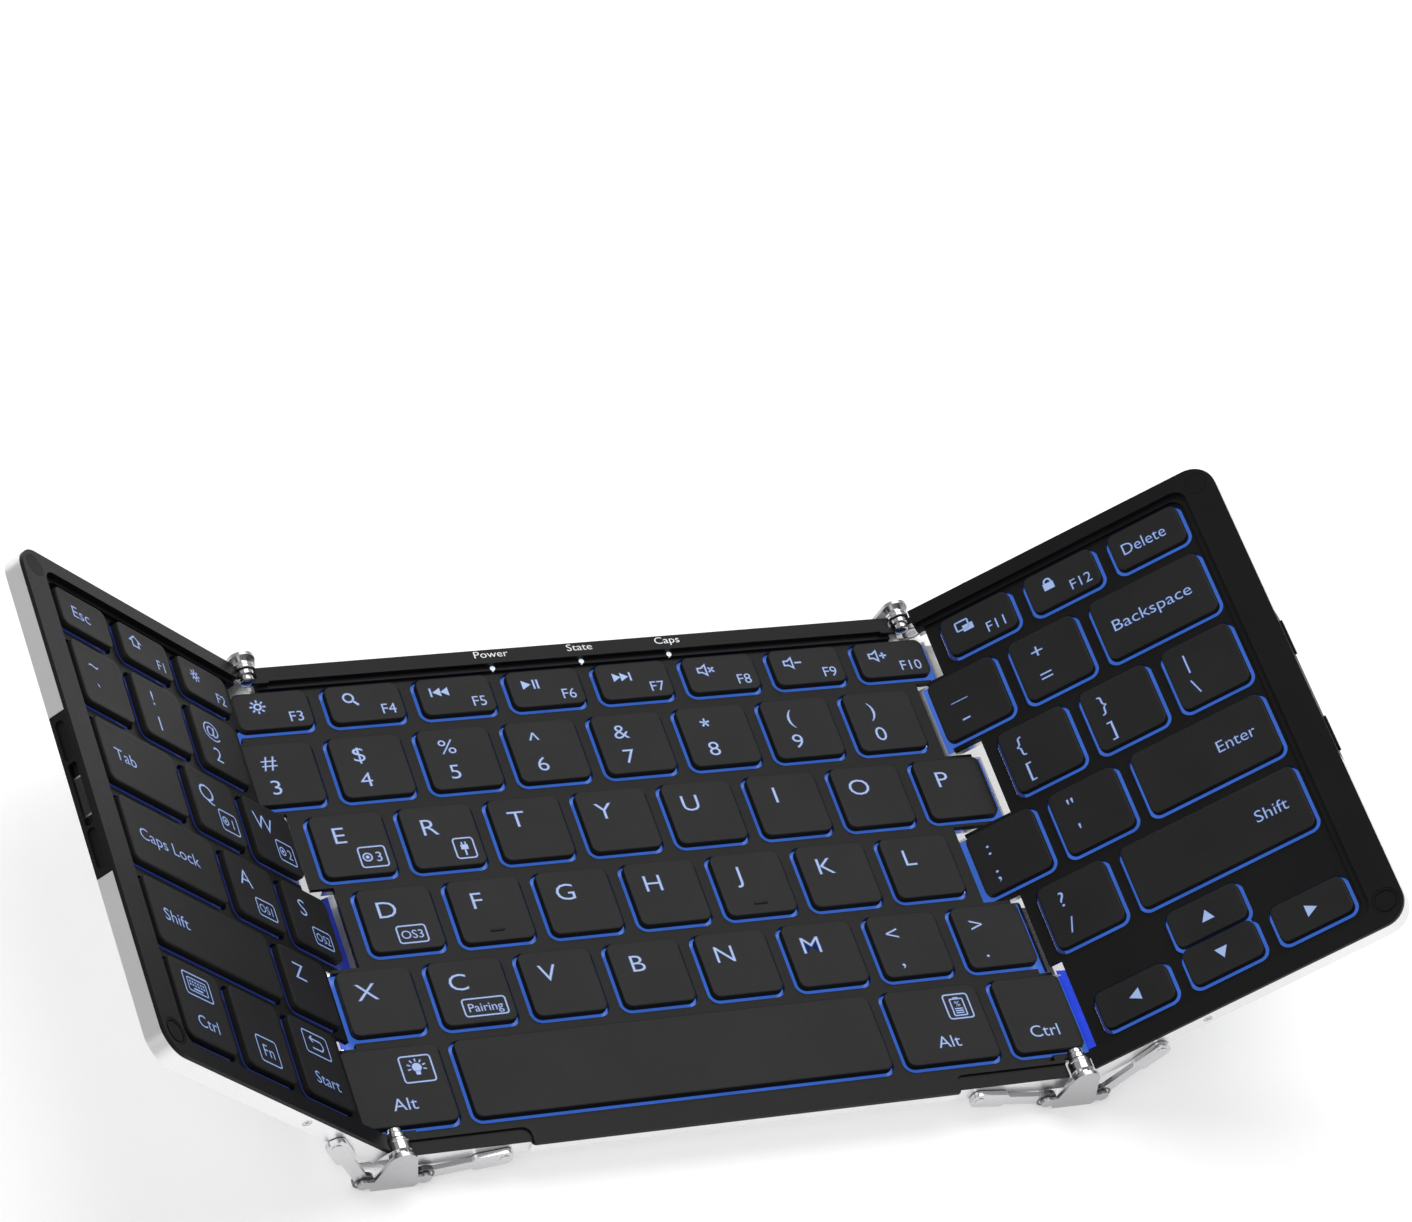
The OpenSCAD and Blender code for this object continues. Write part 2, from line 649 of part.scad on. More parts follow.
pivot_ends = [-pivot_x, pivot_x];
module bracket(s, e) color([0.8, 0.8, 0.82]) corner(s, e) {
    foot_z = -axis_z;
    difference() {
        union() {
            along(knuckle_start(e) + 2 * (knuckle_l + seat) + seat, half_d) circle(collar_r, $fn = 64);
            along(half_d - 0.2, plate_y + 0.1) circle(1.4, $fn = 48);
            along(plate_y, plate_out_y) bracket_face(foot_z);
            along(half_d, plate_y + 0.1) box2(-3.2, 3.2, foot_z, foot_z + 0.8);
            along(half_d - 4, half_d) box2(-bracket_foot_x - 1, bracket_foot_x + 1, foot_z, foot_z + 0.8);
        }
        along(half_d - 8, plate_y + 0.55) circle(pin_r + pin_gap, $fn = 48);
    }
    for (x = pivot_ends) translate([x, 0, -pivot_drop])
        along(lever_y, plate_y + 0.1) circle(pin_r, $fn = 48);
}

module bracket_face(foot_z) {
    circle(bracket_top_r, $fn = 96);
    polygon([[-bracket_top_r + 0.12, 0.7], [bracket_top_r - 0.12, 0.7],
        [bracket_foot_x, foot_z + 1.6], [bracket_foot_x + 0.1, foot_z + 0.9],
        [bracket_foot_x - 0.5, foot_z], [-bracket_foot_x + 0.5, foot_z],
        [-bracket_foot_x - 0.1, foot_z + 0.9], [-bracket_foot_x, foot_z + 1.6]]);
    // ears that carry the lever pivots
    for (x = pivot_ends) translate([x, -pivot_drop]) circle(1.3, $fn = 48);
    box2(-pivot_x, pivot_x, -pivot_drop - 1, -pivot_drop + 1);
}

end_h = 4.2;             // height of the broad end of a lever
arm_h = 2.6;             // height of its arm
end_l = 8.5;             // length of its broad end
module lever() color([0.82, 0.82, 0.84]) {
    difference() {
        union() {
            along(lever_y, lever_y + lever_t) {
                circle(eye_r, $fn = 64);
                box2(0, lever_l, -arm_h / 2, arm_h / 2);
                translate([lever_l + 1.7 - end_l / 2, 0]) rounded(end_l, end_h, 1.6);
            }
            translate([lever_l, 0, 0]) along(lever_y, plate_y) circle(1, $fn = 48);
        }
        along(lever_y - cut, lever_y + lever_t + cut) circle(pin_r + pin_gap, $fn = 48);
    }
}

module centre_lever(s, e) corner(s, e) translate([-pivot_x, 0, -pivot_drop])
    rotate([0, -(180 - centre_lever_angle), 0]) lever();
module wing_lever(s, e) corner(s, e) translate([pivot_x, 0, -pivot_drop])
    rotate([0, -wing_lever_angle, 0]) lever();

module panel_shell(p) place(p) color([0.8, 0.81, 0.83]) shell(p);
module panel_frame(p) place(p) color([0.1, 0.1, 0.11]) frame(p);

// ---- nodes ---------------------------------------------------------------------

panel_shell(CENTRE);  // centre_shell
panel_frame(CENTRE);  // centre_frame
light_guide(CENTRE);  // centre_light_guide
membrane(CENTRE);  // centre_membrane
support(CENTRE);  // centre_support
centre_ribbon();
status_lamps();
key_row(CENTRE, 0);  // centre_function_keys
key_row(CENTRE, 1);  // centre_number_keys
key_row(CENTRE, 2);  // centre_upper_keys
key_row(CENTRE, 3);  // centre_home_keys
key_row(CENTRE, 4);  // centre_lower_keys
centre_bottom_keys();
space_bar();
panel_shell(LEFT);  // left_shell
panel_frame(LEFT);  // left_frame
light_guide(LEFT);  // left_light_guide
membrane(LEFT);  // left_membrane
support(LEFT);  // left_support
main_board();
charging_port();
edge_insert(LEFT);  // left_edge_insert
corner_pads(LEFT);  // left_corner_pads
screws(LEFT);  // left_screws
key_row(LEFT, 0);  // left_function_keys
key_row(LEFT, 1);  // left_number_keys
key_row(LEFT, 2);  // left_upper_keys
key_row(LEFT, 3);  // left_home_keys
key_row(LEFT, 4);  // left_lower_keys
key_row(LEFT, 5);  // left_bottom_keys
panel_shell(RIGHT);  // right_shell
panel_frame(RIGHT);  // right_frame
light_guide(RIGHT);  // right_light_guide
membrane(RIGHT);  // right_membrane
support(RIGHT);  // right_support
battery();
edge_insert(RIGHT);  // right_edge_insert
corner_pads(RIGHT);  // right_corner_pads
screws(RIGHT);  // right_screws
key_row(RIGHT, 0);  // right_function_keys
key_row(RIGHT, 1);  // right_number_keys
key_row(RIGHT, 2);  // right_upper_keys
key_row(RIGHT, 3);  // right_home_keys
key_row(RIGHT, 4);  // right_lower_keys
key_row(RIGHT, 5);  // right_arrow_keys
hinge_pins();
bracket(LEFT, FRONT);  // front_left_bracket
bracket(RIGHT, FRONT);  // front_right_bracket
bracket(LEFT, BACK);  // back_left_bracket
bracket(RIGHT, BACK);  // back_right_bracket
centre_lever(LEFT, FRONT);  // front_left_centre_lever
centre_lever(RIGHT, FRONT);  // front_right_centre_lever
centre_lever(LEFT, BACK);  // back_left_centre_lever
centre_lever(RIGHT, BACK);  // back_right_centre_lever
wing_lever(LEFT, FRONT);  // front_left_wing_lever
wing_lever(RIGHT, FRONT);  // front_right_wing_lever
wing_lever(LEFT, BACK);  // back_left_wing_lever
wing_lever(RIGHT, BACK);  // back_right_wing_lever
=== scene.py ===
"""Looks of the folding keyboard: key caps, legends, finishes, light and camera.

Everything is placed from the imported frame. The three panels are worked on as they
lie when the keyboard is open flat, in millimetres, and then set to the rest pose.
"""

import json
import math

import bmesh
import bpy
from mathutils import Matrix, Vector

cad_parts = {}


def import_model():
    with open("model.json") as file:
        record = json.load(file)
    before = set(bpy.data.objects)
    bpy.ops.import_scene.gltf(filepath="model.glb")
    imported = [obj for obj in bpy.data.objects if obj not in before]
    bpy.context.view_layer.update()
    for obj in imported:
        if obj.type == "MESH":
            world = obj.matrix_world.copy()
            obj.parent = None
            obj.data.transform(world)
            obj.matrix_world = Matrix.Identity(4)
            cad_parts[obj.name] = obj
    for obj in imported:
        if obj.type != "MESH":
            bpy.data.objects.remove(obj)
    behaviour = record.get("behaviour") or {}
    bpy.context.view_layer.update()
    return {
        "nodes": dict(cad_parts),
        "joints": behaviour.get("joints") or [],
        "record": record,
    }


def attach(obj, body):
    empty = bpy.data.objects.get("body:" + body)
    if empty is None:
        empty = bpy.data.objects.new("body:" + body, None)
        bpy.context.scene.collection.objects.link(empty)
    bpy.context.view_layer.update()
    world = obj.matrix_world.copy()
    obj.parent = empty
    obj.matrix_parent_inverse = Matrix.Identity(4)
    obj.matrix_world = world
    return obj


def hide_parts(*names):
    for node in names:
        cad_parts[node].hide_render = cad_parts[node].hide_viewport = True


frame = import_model()

MM = 0.001
NODES = frame["nodes"]
JOINTS = {joint["name"]: joint for joint in frame["joints"]}
BODIES = frame["record"]["behaviour"]["bodies"]
BODY_OF = {node: body for body, nodes in BODIES.items() for node in nodes}


# ---- panels ----------------------------------------------------------------


def rest_pose(side):
    """Turns a panel from lying flat to its pose at rest, in millimetres."""
    if side == "centre":
        return Matrix.Identity(4)
    fold = JOINTS[side + "_fold"]
    angle = math.radians(-fold["range_deg"][0])
    axis = Matrix.Translation(Vector(fold["pos_m"]) / MM)
    return axis @ Matrix.Rotation(angle, 4, Vector(fold["axis"])) @ axis.inverted()


PANELS = {side: rest_pose(side) for side in ("left", "centre", "right")}


def panel_of(name):
    """The panel that a node or body belongs to."""
    for side in ("left", "right"):
        if name.startswith(side):
            return side
    return "centre"


def solids(node):
    """Lowest and highest corners of each solid in a node, flat and in millimetres.

    They are sorted from left to right, and then from front to back.
    """
    mesh = NODES[node].data
    flat = PANELS[panel_of(node)].inverted()
    points = [flat @ (vertex.co / MM) for vertex in mesh.vertices]
    places = {}
    home = [places.setdefault(tuple(round(c, 3) for c in p), i) for i, p in enumerate(points)]
    group = list(range(len(points)))

    def root(i):
        while group[i] != i:
            group[i] = group[group[i]]
            i = group[i]
        return i

    for polygon in mesh.polygons:
        first = root(home[polygon.vertices[0]])
        for i in polygon.vertices[1:]:
            group[root(home[i])] = first
    parts = {}
    for i, p in enumerate(points):
        parts.setdefault(root(home[i]), []).append(p)
    boxes = []
    for ps in parts.values():
        low = Vector([min(p[k] for p in ps) for k in range(3)])
        high = Vector([max(p[k] for p in ps) for k in range(3)])
        boxes.append((low, high))
    return sorted(boxes, key=lambda b: (round(b[0].x), b[0].y))


# ---- materials -------------------------------------------------------------

NOISE_MIDDLE = (0.3, 0.7)                  # where most values of a noise lie
FACTOR, DARK, LIGHT, MIXED = 0, 6, 7, 2    # sockets of a mix node that mixes colours
# the darkest and lightest patches of a surface, as shares of its colour, and their size
PLASTIC_TONES, PLASTIC_CLOUD_MM = (0.86, 1.12), 14
METAL_TONES, METAL_CLOUD_MM = (0.95, 1.0), 20
GLOW_TONES, GLOW_CLOUD_MM = (0.8, 1.0), 9
# how far the roughness of a grained surface goes up and down
PLASTIC_ROUGH_STEP = 0.07
METAL_ROUGH_STEP = 0.06


def material(name):
    """A new node material, with its node tree, shader and object coordinates."""
    made = bpy.data.materials.new(name)
    made.use_nodes = True
    tree = made.node_tree
    shader = tree.nodes["Principled BSDF"]
    coords = tree.nodes.new("ShaderNodeTexCoord").outputs["Object"]
    return made, tree, shader, coords


def noise(tree, coords, grain_mm, detail=3.0, stretch=(1, 1, 1)):
    """Noise with grains of the given size."""
    mapping = tree.nodes.new("ShaderNodeMapping")
    mapping.inputs["Scale"].default_value = stretch
    tree.links.new(coords, mapping.inputs["Vector"])
    node = tree.nodes.new("ShaderNodeTexNoise")
    node.inputs["Scale"].default_value = 1 / (grain_mm * MM)
    node.inputs["Detail"].default_value = detail
    tree.links.new(mapping.outputs["Vector"], node.inputs["Vector"])
    return node.outputs["Fac"]


def spread(tree, value, low, high):
    """Maps the middle of a noise to the range from low to high."""
    node = tree.nodes.new("ShaderNodeMapRange")
    node.inputs["From Min"].default_value = NOISE_MIDDLE[0]
    node.inputs["From Max"].default_value = NOISE_MIDDLE[1]
    node.inputs["To Min"].default_value = low
    node.inputs["To Max"].default_value = high
    tree.links.new(value, node.inputs["Value"])
    return node.outputs["Result"]


def tint(tree, noise_value, colour, tones, socket):
    """Gives a socket a colour that varies between two tones of it."""
    node = tree.nodes.new("ShaderNodeMix")
    node.data_type = "RGBA"
    for side, tone in zip((DARK, LIGHT), tones):
        node.inputs[side].default_value = (*[tone * c for c in colour], 1)
    tree.links.new(spread(tree, noise_value, 0, 1), node.inputs[FACTOR])
    tree.links.new(node.outputs[MIXED], socket)


def grain(tree, value, rough, rough_step, depth_mm, shader):
    """Gives a surface the roughness and the relief of a fine noise."""
    tree.links.new(spread(tree, value, rough - rough_step, rough + rough_step),
                   shader.inputs["Roughness"])
    node = tree.nodes.new("ShaderNodeBump")
    node.inputs["Strength"].default_value = 1.0
    node.inputs["Distance"].default_value = depth_mm * MM
    tree.links.new(value, node.inputs["Height"])
    tree.links.new(node.outputs["Normal"], shader.inputs["Normal"])


def plastic(name, colour, rough, grain_mm=0.16, depth_mm=0.012, sheen=0.35):
    """Moulded plastic with a fine spark-eroded texture and faint wear."""
    made, tree, shader, coords = material(name)
    clouds = noise(tree, coords, PLASTIC_CLOUD_MM, detail=4.0)
    tint(tree, clouds, colour, PLASTIC_TONES, shader.inputs["Base Color"])
    grain(tree, noise(tree, coords, grain_mm), rough, PLASTIC_ROUGH_STEP, depth_mm, shader)
    shader.inputs["Specular IOR Level"].default_value = sheen
    return made


def metal(name, colour, rough, grain_mm=0.12, stretch=(1, 1, 1), depth_mm=0.004):
    """Metal whose surface is blasted, or brushed along one axis by stretch."""
    made, tree, shader, coords = material(name)
    clouds = noise(tree, coords, METAL_CLOUD_MM)
    tint(tree, clouds, colour, METAL_TONES, shader.inputs["Base Color"])
    fine = noise(tree, coords, grain_mm, stretch=stretch)
    grain(tree, fine, rough, METAL_ROUGH_STEP, depth_mm, shader)
    shader.inputs["Metallic"].default_value = 1.0
    return made


def glowing(name, colour, glow, strength, rough=0.4):
    """Plastic that is lit from within, with a slightly uneven glow. The strips in the fold gaps use
    it as painted blue light from the guides.
    """
    made, tree, shader, coords = material(name)
    shader.inputs["Base Color"].default_value = (*colour, 1)
    shader.inputs["Roughness"].default_value = rough
    clouds = noise(tree, coords, GLOW_CLOUD_MM)
    tint(tree, clouds, glow, GLOW_TONES, shader.inputs["Emission Color"])
    shader.inputs["Emission Strength"].default_value = strength
    return made


BLACK = (0.0065, 0.0065, 0.007)
KEY_BLACK = (0.0145, 0.0145, 0.0153)
BLUE = (0.06, 0.20, 0.85)
SHADED_GUIDE_BLUE = (0.05, 0.10, 0.60)

ALUMINIUM = metal("anodised aluminium", (0.86, 0.86, 0.87), 0.33)
HINGE = metal("satin hinge metal", (0.50, 0.50, 0.51), 0.30)
LEVER = metal("satin lever metal", (0.66, 0.66, 0.67), 0.26)
POLISHED = metal("polished steel", (0.62, 0.62, 0.63), 0.14, stretch=(1, 0.1, 1))
STEEL = metal("rolled steel", (0.55, 0.55, 0.56), 0.38, stretch=(0.1, 1, 1))
FRAME = plastic("black frame", BLACK, 0.42, grain_mm=0.22, depth_mm=0.018, sheen=0.14)
KEY = plastic("key plastic", KEY_BLACK, 0.50, sheen=0.16)
RUBBER = plastic("black rubber", (0.006, 0.006, 0.007), 0.5, sheen=0.12)
FILM = plastic("membrane film", (0.70, 0.76, 0.72), 0.3, depth_mm=0.002)
RIBBON = plastic("ribbon film", (0.60, 0.30, 0.07), 0.3, depth_mm=0.002)
BOARD = plastic("board", (0.02, 0.20, 0.09), 0.35, depth_mm=0.004)
FOIL = plastic("battery foil", (0.60, 0.61, 0.63), 0.4, grain_mm=0.6)
GUIDE = glowing("lit guide", (0.02, 0.05, 0.20), BLUE, 0.62)
# the lit guide with its glow turned down: painted shade on the left wing and in the wings' fold
# pockets
SHADED_GUIDE = glowing("guide with painted shade", (0.02, 0.04, 0.16), SHADED_GUIDE_BLUE, 0.22)
# glowing strips that stand for the guides' blue light falling on the shelves in the fold gaps:
# painted light
PAINTED_BLUE_LIGHT = glowing("strip of painted blue light", (0.01, 0.03, 0.30), (0.01, 0.05, 0.75), 0.85)
PAINTED_DIM_BLUE_LIGHT = glowing("strip of painted dim blue light", (0.01, 0.02, 0.12), (0.01, 0.03, 0.40), 0.5)
# dark metal for the lever eyes; as the lip beside the lower row it is painted shade in the fold gap
DARK_METAL_AND_SHADE = metal("dark hinge metal and painted shade", (0.16, 0.16, 0.17), 0.30)
LEGEND = glowing("lit legend", (0.28, 0.36, 0.52), (0.10, 0.16, 0.32), 1.0)
# a painted halo of glow round the lit legends
LEGEND_GLOW_HALO = glowing("glow round a legend", (0.02, 0.05, 0.16), (0.02, 0.05, 0.22), 0.5)
PRINT = plastic("white print", (0.86, 0.88, 0.90), 0.5, depth_mm=0.001)
LAMP = glowing("status lamp", (0.6, 0.65, 0.7), (0.8, 0.9, 1.0), 0.6)

# by the ends of the nodes' names; the left wing is dimmer, as seen in the photograph, so its guide
# glows less: painted shade
FINISHES = {
    "left_light_guide": SHADED_GUIDE, "light_guide": GUIDE, "shell": ALUMINIUM, "frame": FRAME,
    "membrane": FILM, "support": STEEL, "insert": RUBBER, "pads": RUBBER, "screws": POLISHED,
    "pins": POLISHED, "bracket": HINGE, "lever": LEVER, "ribbon": RIBBON, "board": BOARD,
    "battery": FOIL, "port": STEEL, "lamps": LAMP, "keys": KEY, "bar": KEY,
}
ROUNDING_MM = {"shell": 0.25, "frame": 0.12, "bracket": 0.22, "lever": 0.3, "insert": 0.15}
ROUNDING_STEPS = 2
ROUNDED_OVER_DEG = 35    # edges that turn by less stay sharp
WELD_MM = 0.002


def by_ending(table, node, default=None):
    """The value whose key is how the node's name ends."""
    return next((value for ending, value in table.items() if node.endswith(ending)), default)


def dress(node, round_mm):
    """Gives a node its finish and, by modifiers, rounded edges."""
    part = NODES[node]
    mesh = part.data
    mesh.materials.clear()
    mesh.materials.append(by_ending(FINISHES, node))
    if "custom_normal" in mesh.attributes:
        mesh.attributes.remove(mesh.attributes["custom_normal"])
    weld = part.modifiers.new("Weld", "WELD")
    weld.merge_threshold = WELD_MM * MM
    if round_mm:
        rounding = part.modifiers.new("Bevel", "BEVEL")
        rounding.width = round_mm * MM
        rounding.segments = ROUNDING_STEPS
        rounding.limit_method = "ANGLE"
        rounding.angle_limit = math.radians(ROUNDED_OVER_DEG)
        rounding.harden_normals = True
        rounding.use_clamp_overlap = True
    for polygon in mesh.polygons:
        polygon.use_smooth = bool(round_mm)


for node in NODES:
    dress(node, by_ending(ROUNDING_MM, node, 0))


# ---- new pieces --------------------------------------------------------------


def piece(name, verts_mm, faces, finish, body, panel="centre", smooth_deg=None):
    """A mesh piece given in a panel's flat frame, set to the rest pose on a body."""
    mesh = bpy.data.meshes.new(name)
    place = PANELS[panel]
    mesh.from_pydata([(place @ Vector(v)) * MM for v in verts_mm], [], faces)
    mesh.materials.append(finish)
    if smooth_deg:
        for polygon in mesh.polygons:
            polygon.use_smooth = True
        mesh.set_sharp_from_angle(angle=math.radians(smooth_deg))
    made = bpy.data.objects.new(name, mesh)
    bpy.context.scene.collection.objects.link(made)
    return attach(made, body)


def turn_faces_out(made, merge_mm=None):
    """Turns all faces of a piece outwards, after points closer than merge_mm are joined."""
    clean = bmesh.new()
    clean.from_mesh(made.data)
    if merge_mm:
        bmesh.ops.remove_doubles(clean, verts=clean.verts, dist=merge_mm * MM)
    bmesh.ops.recalc_face_normals(clean, faces=clean.faces)
    clean.to_mesh(made.data)
    clean.free()


LEAST_RADIUS = 0.05      # of a rounded corner, however far it is inset


def rounded_loop(low, high, inset, radius, steps=5):
    """Points round a rectangle with rounded corners, from the front right corner on."""
    r = max(radius - inset, LEAST_RADIUS)
    left, right = low.x + inset + r, high.x - inset - r
    front, back = low.y + inset + r, high.y - inset - r
    corners = [(right, front, -90), (right, back, 0), (left, back, 90), (left, front, 180)]
    loop = []
    for x, y, start in corners:
        for k in range(steps + 1):
            a = math.radians(start + 90 * k / steps)
            loop.append((x + r * math.cos(a), y + r * math.sin(a)))
    return loop


def stack(verts, faces, low, high, radius, rings):
    """Adds a closed form with a rounded outline, from the (height, inset) of each ring."""
    start = len(verts)
    for z, inset in rings:
        loop = rounded_loop(low, high, inset, radius)
        verts.extend((x, y, z) for x, y in loop)
    n = len(loop)
    for ring in range(len(rings) - 1):
        a, b = start + ring * n, start + (ring + 1) * n
        faces.extend((a + k, a + (k + 1) % n, b + (k + 1) % n, b + k) for k in range(n))
    faces.append([start + k for k in reversed(range(n))])
    faces.append([start + (len(rings) - 1) * n + k for k in range(n)])


# ---- key caps ------------------------------------------------------------------

CAP_RADIUS = 1.7
# depth below the top and inset of each ring of a cap: a softly rounded edge, then a faint dish
CAP_RINGS = [(0.42, 0.0), (0.2, 0.04), (0.07, 0.12), (0.015, 0.22), (0.0, 0.36),
             (0.02, 1.1), (0.05, 2.4)]
CAP_SMOOTH_DEG = 28

KEY_NODES = [n for n in NODES if n.endswith("keys") or n == "space_bar"]
for node in KEY_NODES:
    verts, faces = [], []
    for low, high in solids(node):
        rings = [(low.z, 0.0)] + [(high.z - drop, inset) for drop, inset in CAP_RINGS]
        stack(verts, faces, low, high, CAP_RADIUS, rings)
    caps = piece(node + "_caps", verts, faces, KEY, BODY_OF[node], panel_of(node), CAP_SMOOTH_DEG)
    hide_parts(node)


# ---- legends -------------------------------------------------------------------

INK_LIFT = 0.014         # how far print lies above a surface
GLOW_HALO_W = 0.11            # width of the painted glow halo round the legends
EDGE_DROP = 0.006        # how far that edge lies below them
FACE_EDGE = 1.2          # it is this much wider at the corners of filled shapes
BOLDEN = -0.017          # the strokes of the legends are thinner than the font's
CAP_SHARE = 0.729        # height of a capital as a share of the font's size
MITRE_LIMIT = 0.35       # keeps the mitre of a sharp corner short
FINE, THIN, LINE, BOLD, HEAVY = 0.22, 0.24, 0.26, 0.3, 0.34     # widths of lines


class Ink:
    """Flat printed shapes in a panel's frame, in millimetres, with a fainter edge just below: a
    painted glow halo.
    """

    def __init__(self, z, edge=0.0, bolden=0.0):
        self.z = z
        self.edge = edge
        self.bolden = bolden     # how far a stroke grows to each side, as a share of the height
        self.verts = []
        self.faces = []
        self.is_edge = []
        self.zoom = None         # the middle of what is drawn larger, and how much larger

    def add(self, points, face_lists, is_edge):
        start = len(self.verts)
        z = self.z - (EDGE_DROP if is_edge else 0)
        if self.zoom:
            middle, scale = self.zoom
            points = [tuple(m + scale * (c - m) for c, m in zip(p, middle)) for p in points]
        self.verts.extend((x, y, z) for x, y in points)
        self.faces.extend([start + k for k in face] for face in face_lists)
        self.is_edge.extend([is_edge] * len(face_lists))

    def face(self, points):
        """A filled convex shape, given counterclockwise."""
        n = len(points)
        self.add(points, [range(n)], False)
        if self.edge:
            middle = sum((Vector(p) for p in points), Vector((0, 0))) / n
            grown = []
            for p in points:
                away = Vector(p) - middle
                grown.append(Vector(p) + away.normalized() * self.edge * FACE_EDGE)
            self.add(grown, [range(n)], True)

    def line(self, points, width=BOLD, closed=False):
        """A line of even width with mitred corners."""
        self.stroke(points, width, closed, False)
        if self.edge:
            self.stroke(points, width + 2 * self.edge, closed, True)

    def stroke(self, points, width, closed, is_edge):
        pts = [Vector(p) for p in points]
        n = len(pts)
        if is_edge and not closed:
            pts[0] = pts[0] + (pts[0] - pts[1]).normalized() * self.edge
            pts[-1] = pts[-1] + (pts[-1] - pts[-2]).normalized() * self.edge
        left, right = [], []
        for i, p in enumerate(pts):
            before = pts[i - 1] if closed or i else None
            after = pts[(i + 1) % n] if closed or i < n - 1 else None
            a = (p - before).normalized() if before is not None else (after - p).normalized()
            b = (after - p).normalized() if after is not None else a
            normal = Vector((-(a + b).y, (a + b).x)).normalized()
            out = width / 2 / max(normal.dot(Vector((-a.y, a.x))), MITRE_LIMIT)
            left.append(p + normal * out)
            right.append(p - normal * out)
        for i in range(n if closed else n - 1):
            j = (i + 1) % n
            self.add([right[i], right[j], left[j], left[i]], [range(4)], is_edge)

    def arc(self, x, y, r, width=BOLD, start=0, end=360, steps=20):
        turn = end - start
        closed = turn == 360
        count = steps if closed else steps + 1
        self.line([polar(x, y, r, math.radians(start + turn * k / steps)) for k in range(count)],
                  width, closed)

    def disc(self, x, y, r, steps=16):
        self.face([polar(x, y, r, 2 * math.pi * k / steps) for k in range(steps)])

    def frame(self, x, y, w, h, width=THIN, r=0.6):
        """A rounded frame centred on x, y."""
        low, high = Vector((x - w / 2, y - h / 2, 0)), Vector((x + w / 2, y + h / 2, 0))
        self.line(rounded_loop(low, high, 0, r, steps=3), width, closed=True)

    def text(self, words, x, y, cap_height, align="CENTER", stretch=1.0):
        """Words whose capitals are cap_height tall, centred on y."""
        offset = self.bolden * cap_height
        self.glyphs(words, x, y, cap_height, align, stretch, offset, False)
        if self.edge:
            self.glyphs(words, x, y, cap_height, align, stretch, offset + self.edge, True)

    def glyphs(self, words, x, y, cap_height, align, stretch, offset, is_edge):
        curve = bpy.data.curves.new("words", "FONT")
        curve.body = words
        curve.align_x = align
        curve.size = cap_height / CAP_SHARE
        curve.offset = offset
        curve.resolution_u = 3
        holder = bpy.data.objects.new("words", curve)
        bpy.context.scene.collection.objects.link(holder)
        bpy.context.view_layer.update()
        flat = bpy.data.meshes.new_from_object(holder)
        self.add([(x + v.co.x * stretch, y - cap_height / 2 + v.co.y) for v in flat.vertices],
                 [list(polygon.vertices) for polygon in flat.polygons], is_edge)
        bpy.data.objects.remove(holder)
        bpy.data.curves.remove(curve)
        bpy.data.meshes.remove(flat)

    def done(self, name, finish, body, panel):
        made = piece(name, self.verts, self.faces, finish, body, panel)
        if self.edge:
            made.data.materials.append(LEGEND_GLOW_HALO)
            for polygon, is_edge in zip(made.data.polygons, self.is_edge):
                polygon.material_index = int(is_edge)


def polar(x, y, r, angle):
    return (x + r * math.cos(angle), y + r * math.sin(angle))


# Each icon is drawn with an ink, i, about the point x, y, in millimetres.


def sun(i, x, y, r=1.35):
    i.arc(x, y, 0.42 * r, LINE)
    for k in range(8):
        a = math.radians(45 * k)
        i.line([polar(x, y, 0.68 * r, a), polar(x, y, r, a)], THIN)


def magnifier(i, x, y):
    i.arc(x - 0.25, y + 0.3, 0.85, 0.28)
    i.line([(x + 0.35, y - 0.3), (x + 1.2, y - 1.2)], HEAVY)


def triangle(i, x, y, w, h, way):
    """A filled triangle that points along way, one of the four directions."""
    along = Vector(way)
    across = Vector((-along.y, along.x))
    tip = Vector((x, y)) + along * h / 2
    foot = Vector((x, y)) - along * h / 2
    i.face([foot - across * w / 2, tip, foot + across * w / 2])


def skip(i, x, y, way):
    for shift in (-0.55, 0.85):
        triangle(i, x + way * shift, y, 1.7, 1.4, (way, 0))
    i.line([(x + way * 1.9, y - 0.85), (x + way * 1.9, y + 0.85)], LINE)


def play_pause(i, x, y):
    triangle(i, x - 0.9, y, 1.8, 1.5, (1, 0))
    for shift in (0.45, 1.15):
        i.line([(x + shift, y - 0.9), (x + shift, y + 0.9)], LINE)


def speaker(i, x, y, mark):
    i.line([(x - 1.7, y - 0.45), (x - 1.7, y + 0.45), (x - 1.0, y + 0.45), (x - 0.2, y + 1.05),
            (x - 0.2, y - 1.05), (x - 1.0, y - 0.45)], FINE, closed=True)
    if mark == "x":
        i.line([(x + 0.3, y - 0.45), (x + 1.2, y + 0.45)], THIN)
        i.line([(x + 0.3, y + 0.45), (x + 1.2, y - 0.45)], THIN)
    else:
        i.line([(x + 0.3, y), (x + 1.5, y)], LINE)
    if mark == "+":
        i.line([(x + 0.9, y - 0.6), (x + 0.9, y + 0.6)], LINE)


def house(i, x, y):
    i.line([(x - 0.8, y - 0.95), (x - 0.8, y + 0.1), (x - 1.35, y + 0.1), (x, y + 1.15),
            (x + 1.35, y + 0.1), (x + 0.8, y + 0.1), (x + 0.8, y - 0.95)], THIN, closed=True)


def block(i, left, front, right, back):
    """A filled rectangle."""
    i.face([(left, front), (right, front), (right, back), (left, back)])


def two_panes(i, x, y):
    """An open pane behind a filled one, for the key that switches between tasks."""
    i.frame(x - 0.35, y + 0.3, 2.3, 1.7, THIN, 0.2)
    block(i, x - 0.4, y - 1.1, x + 1.5, y + 0.15)


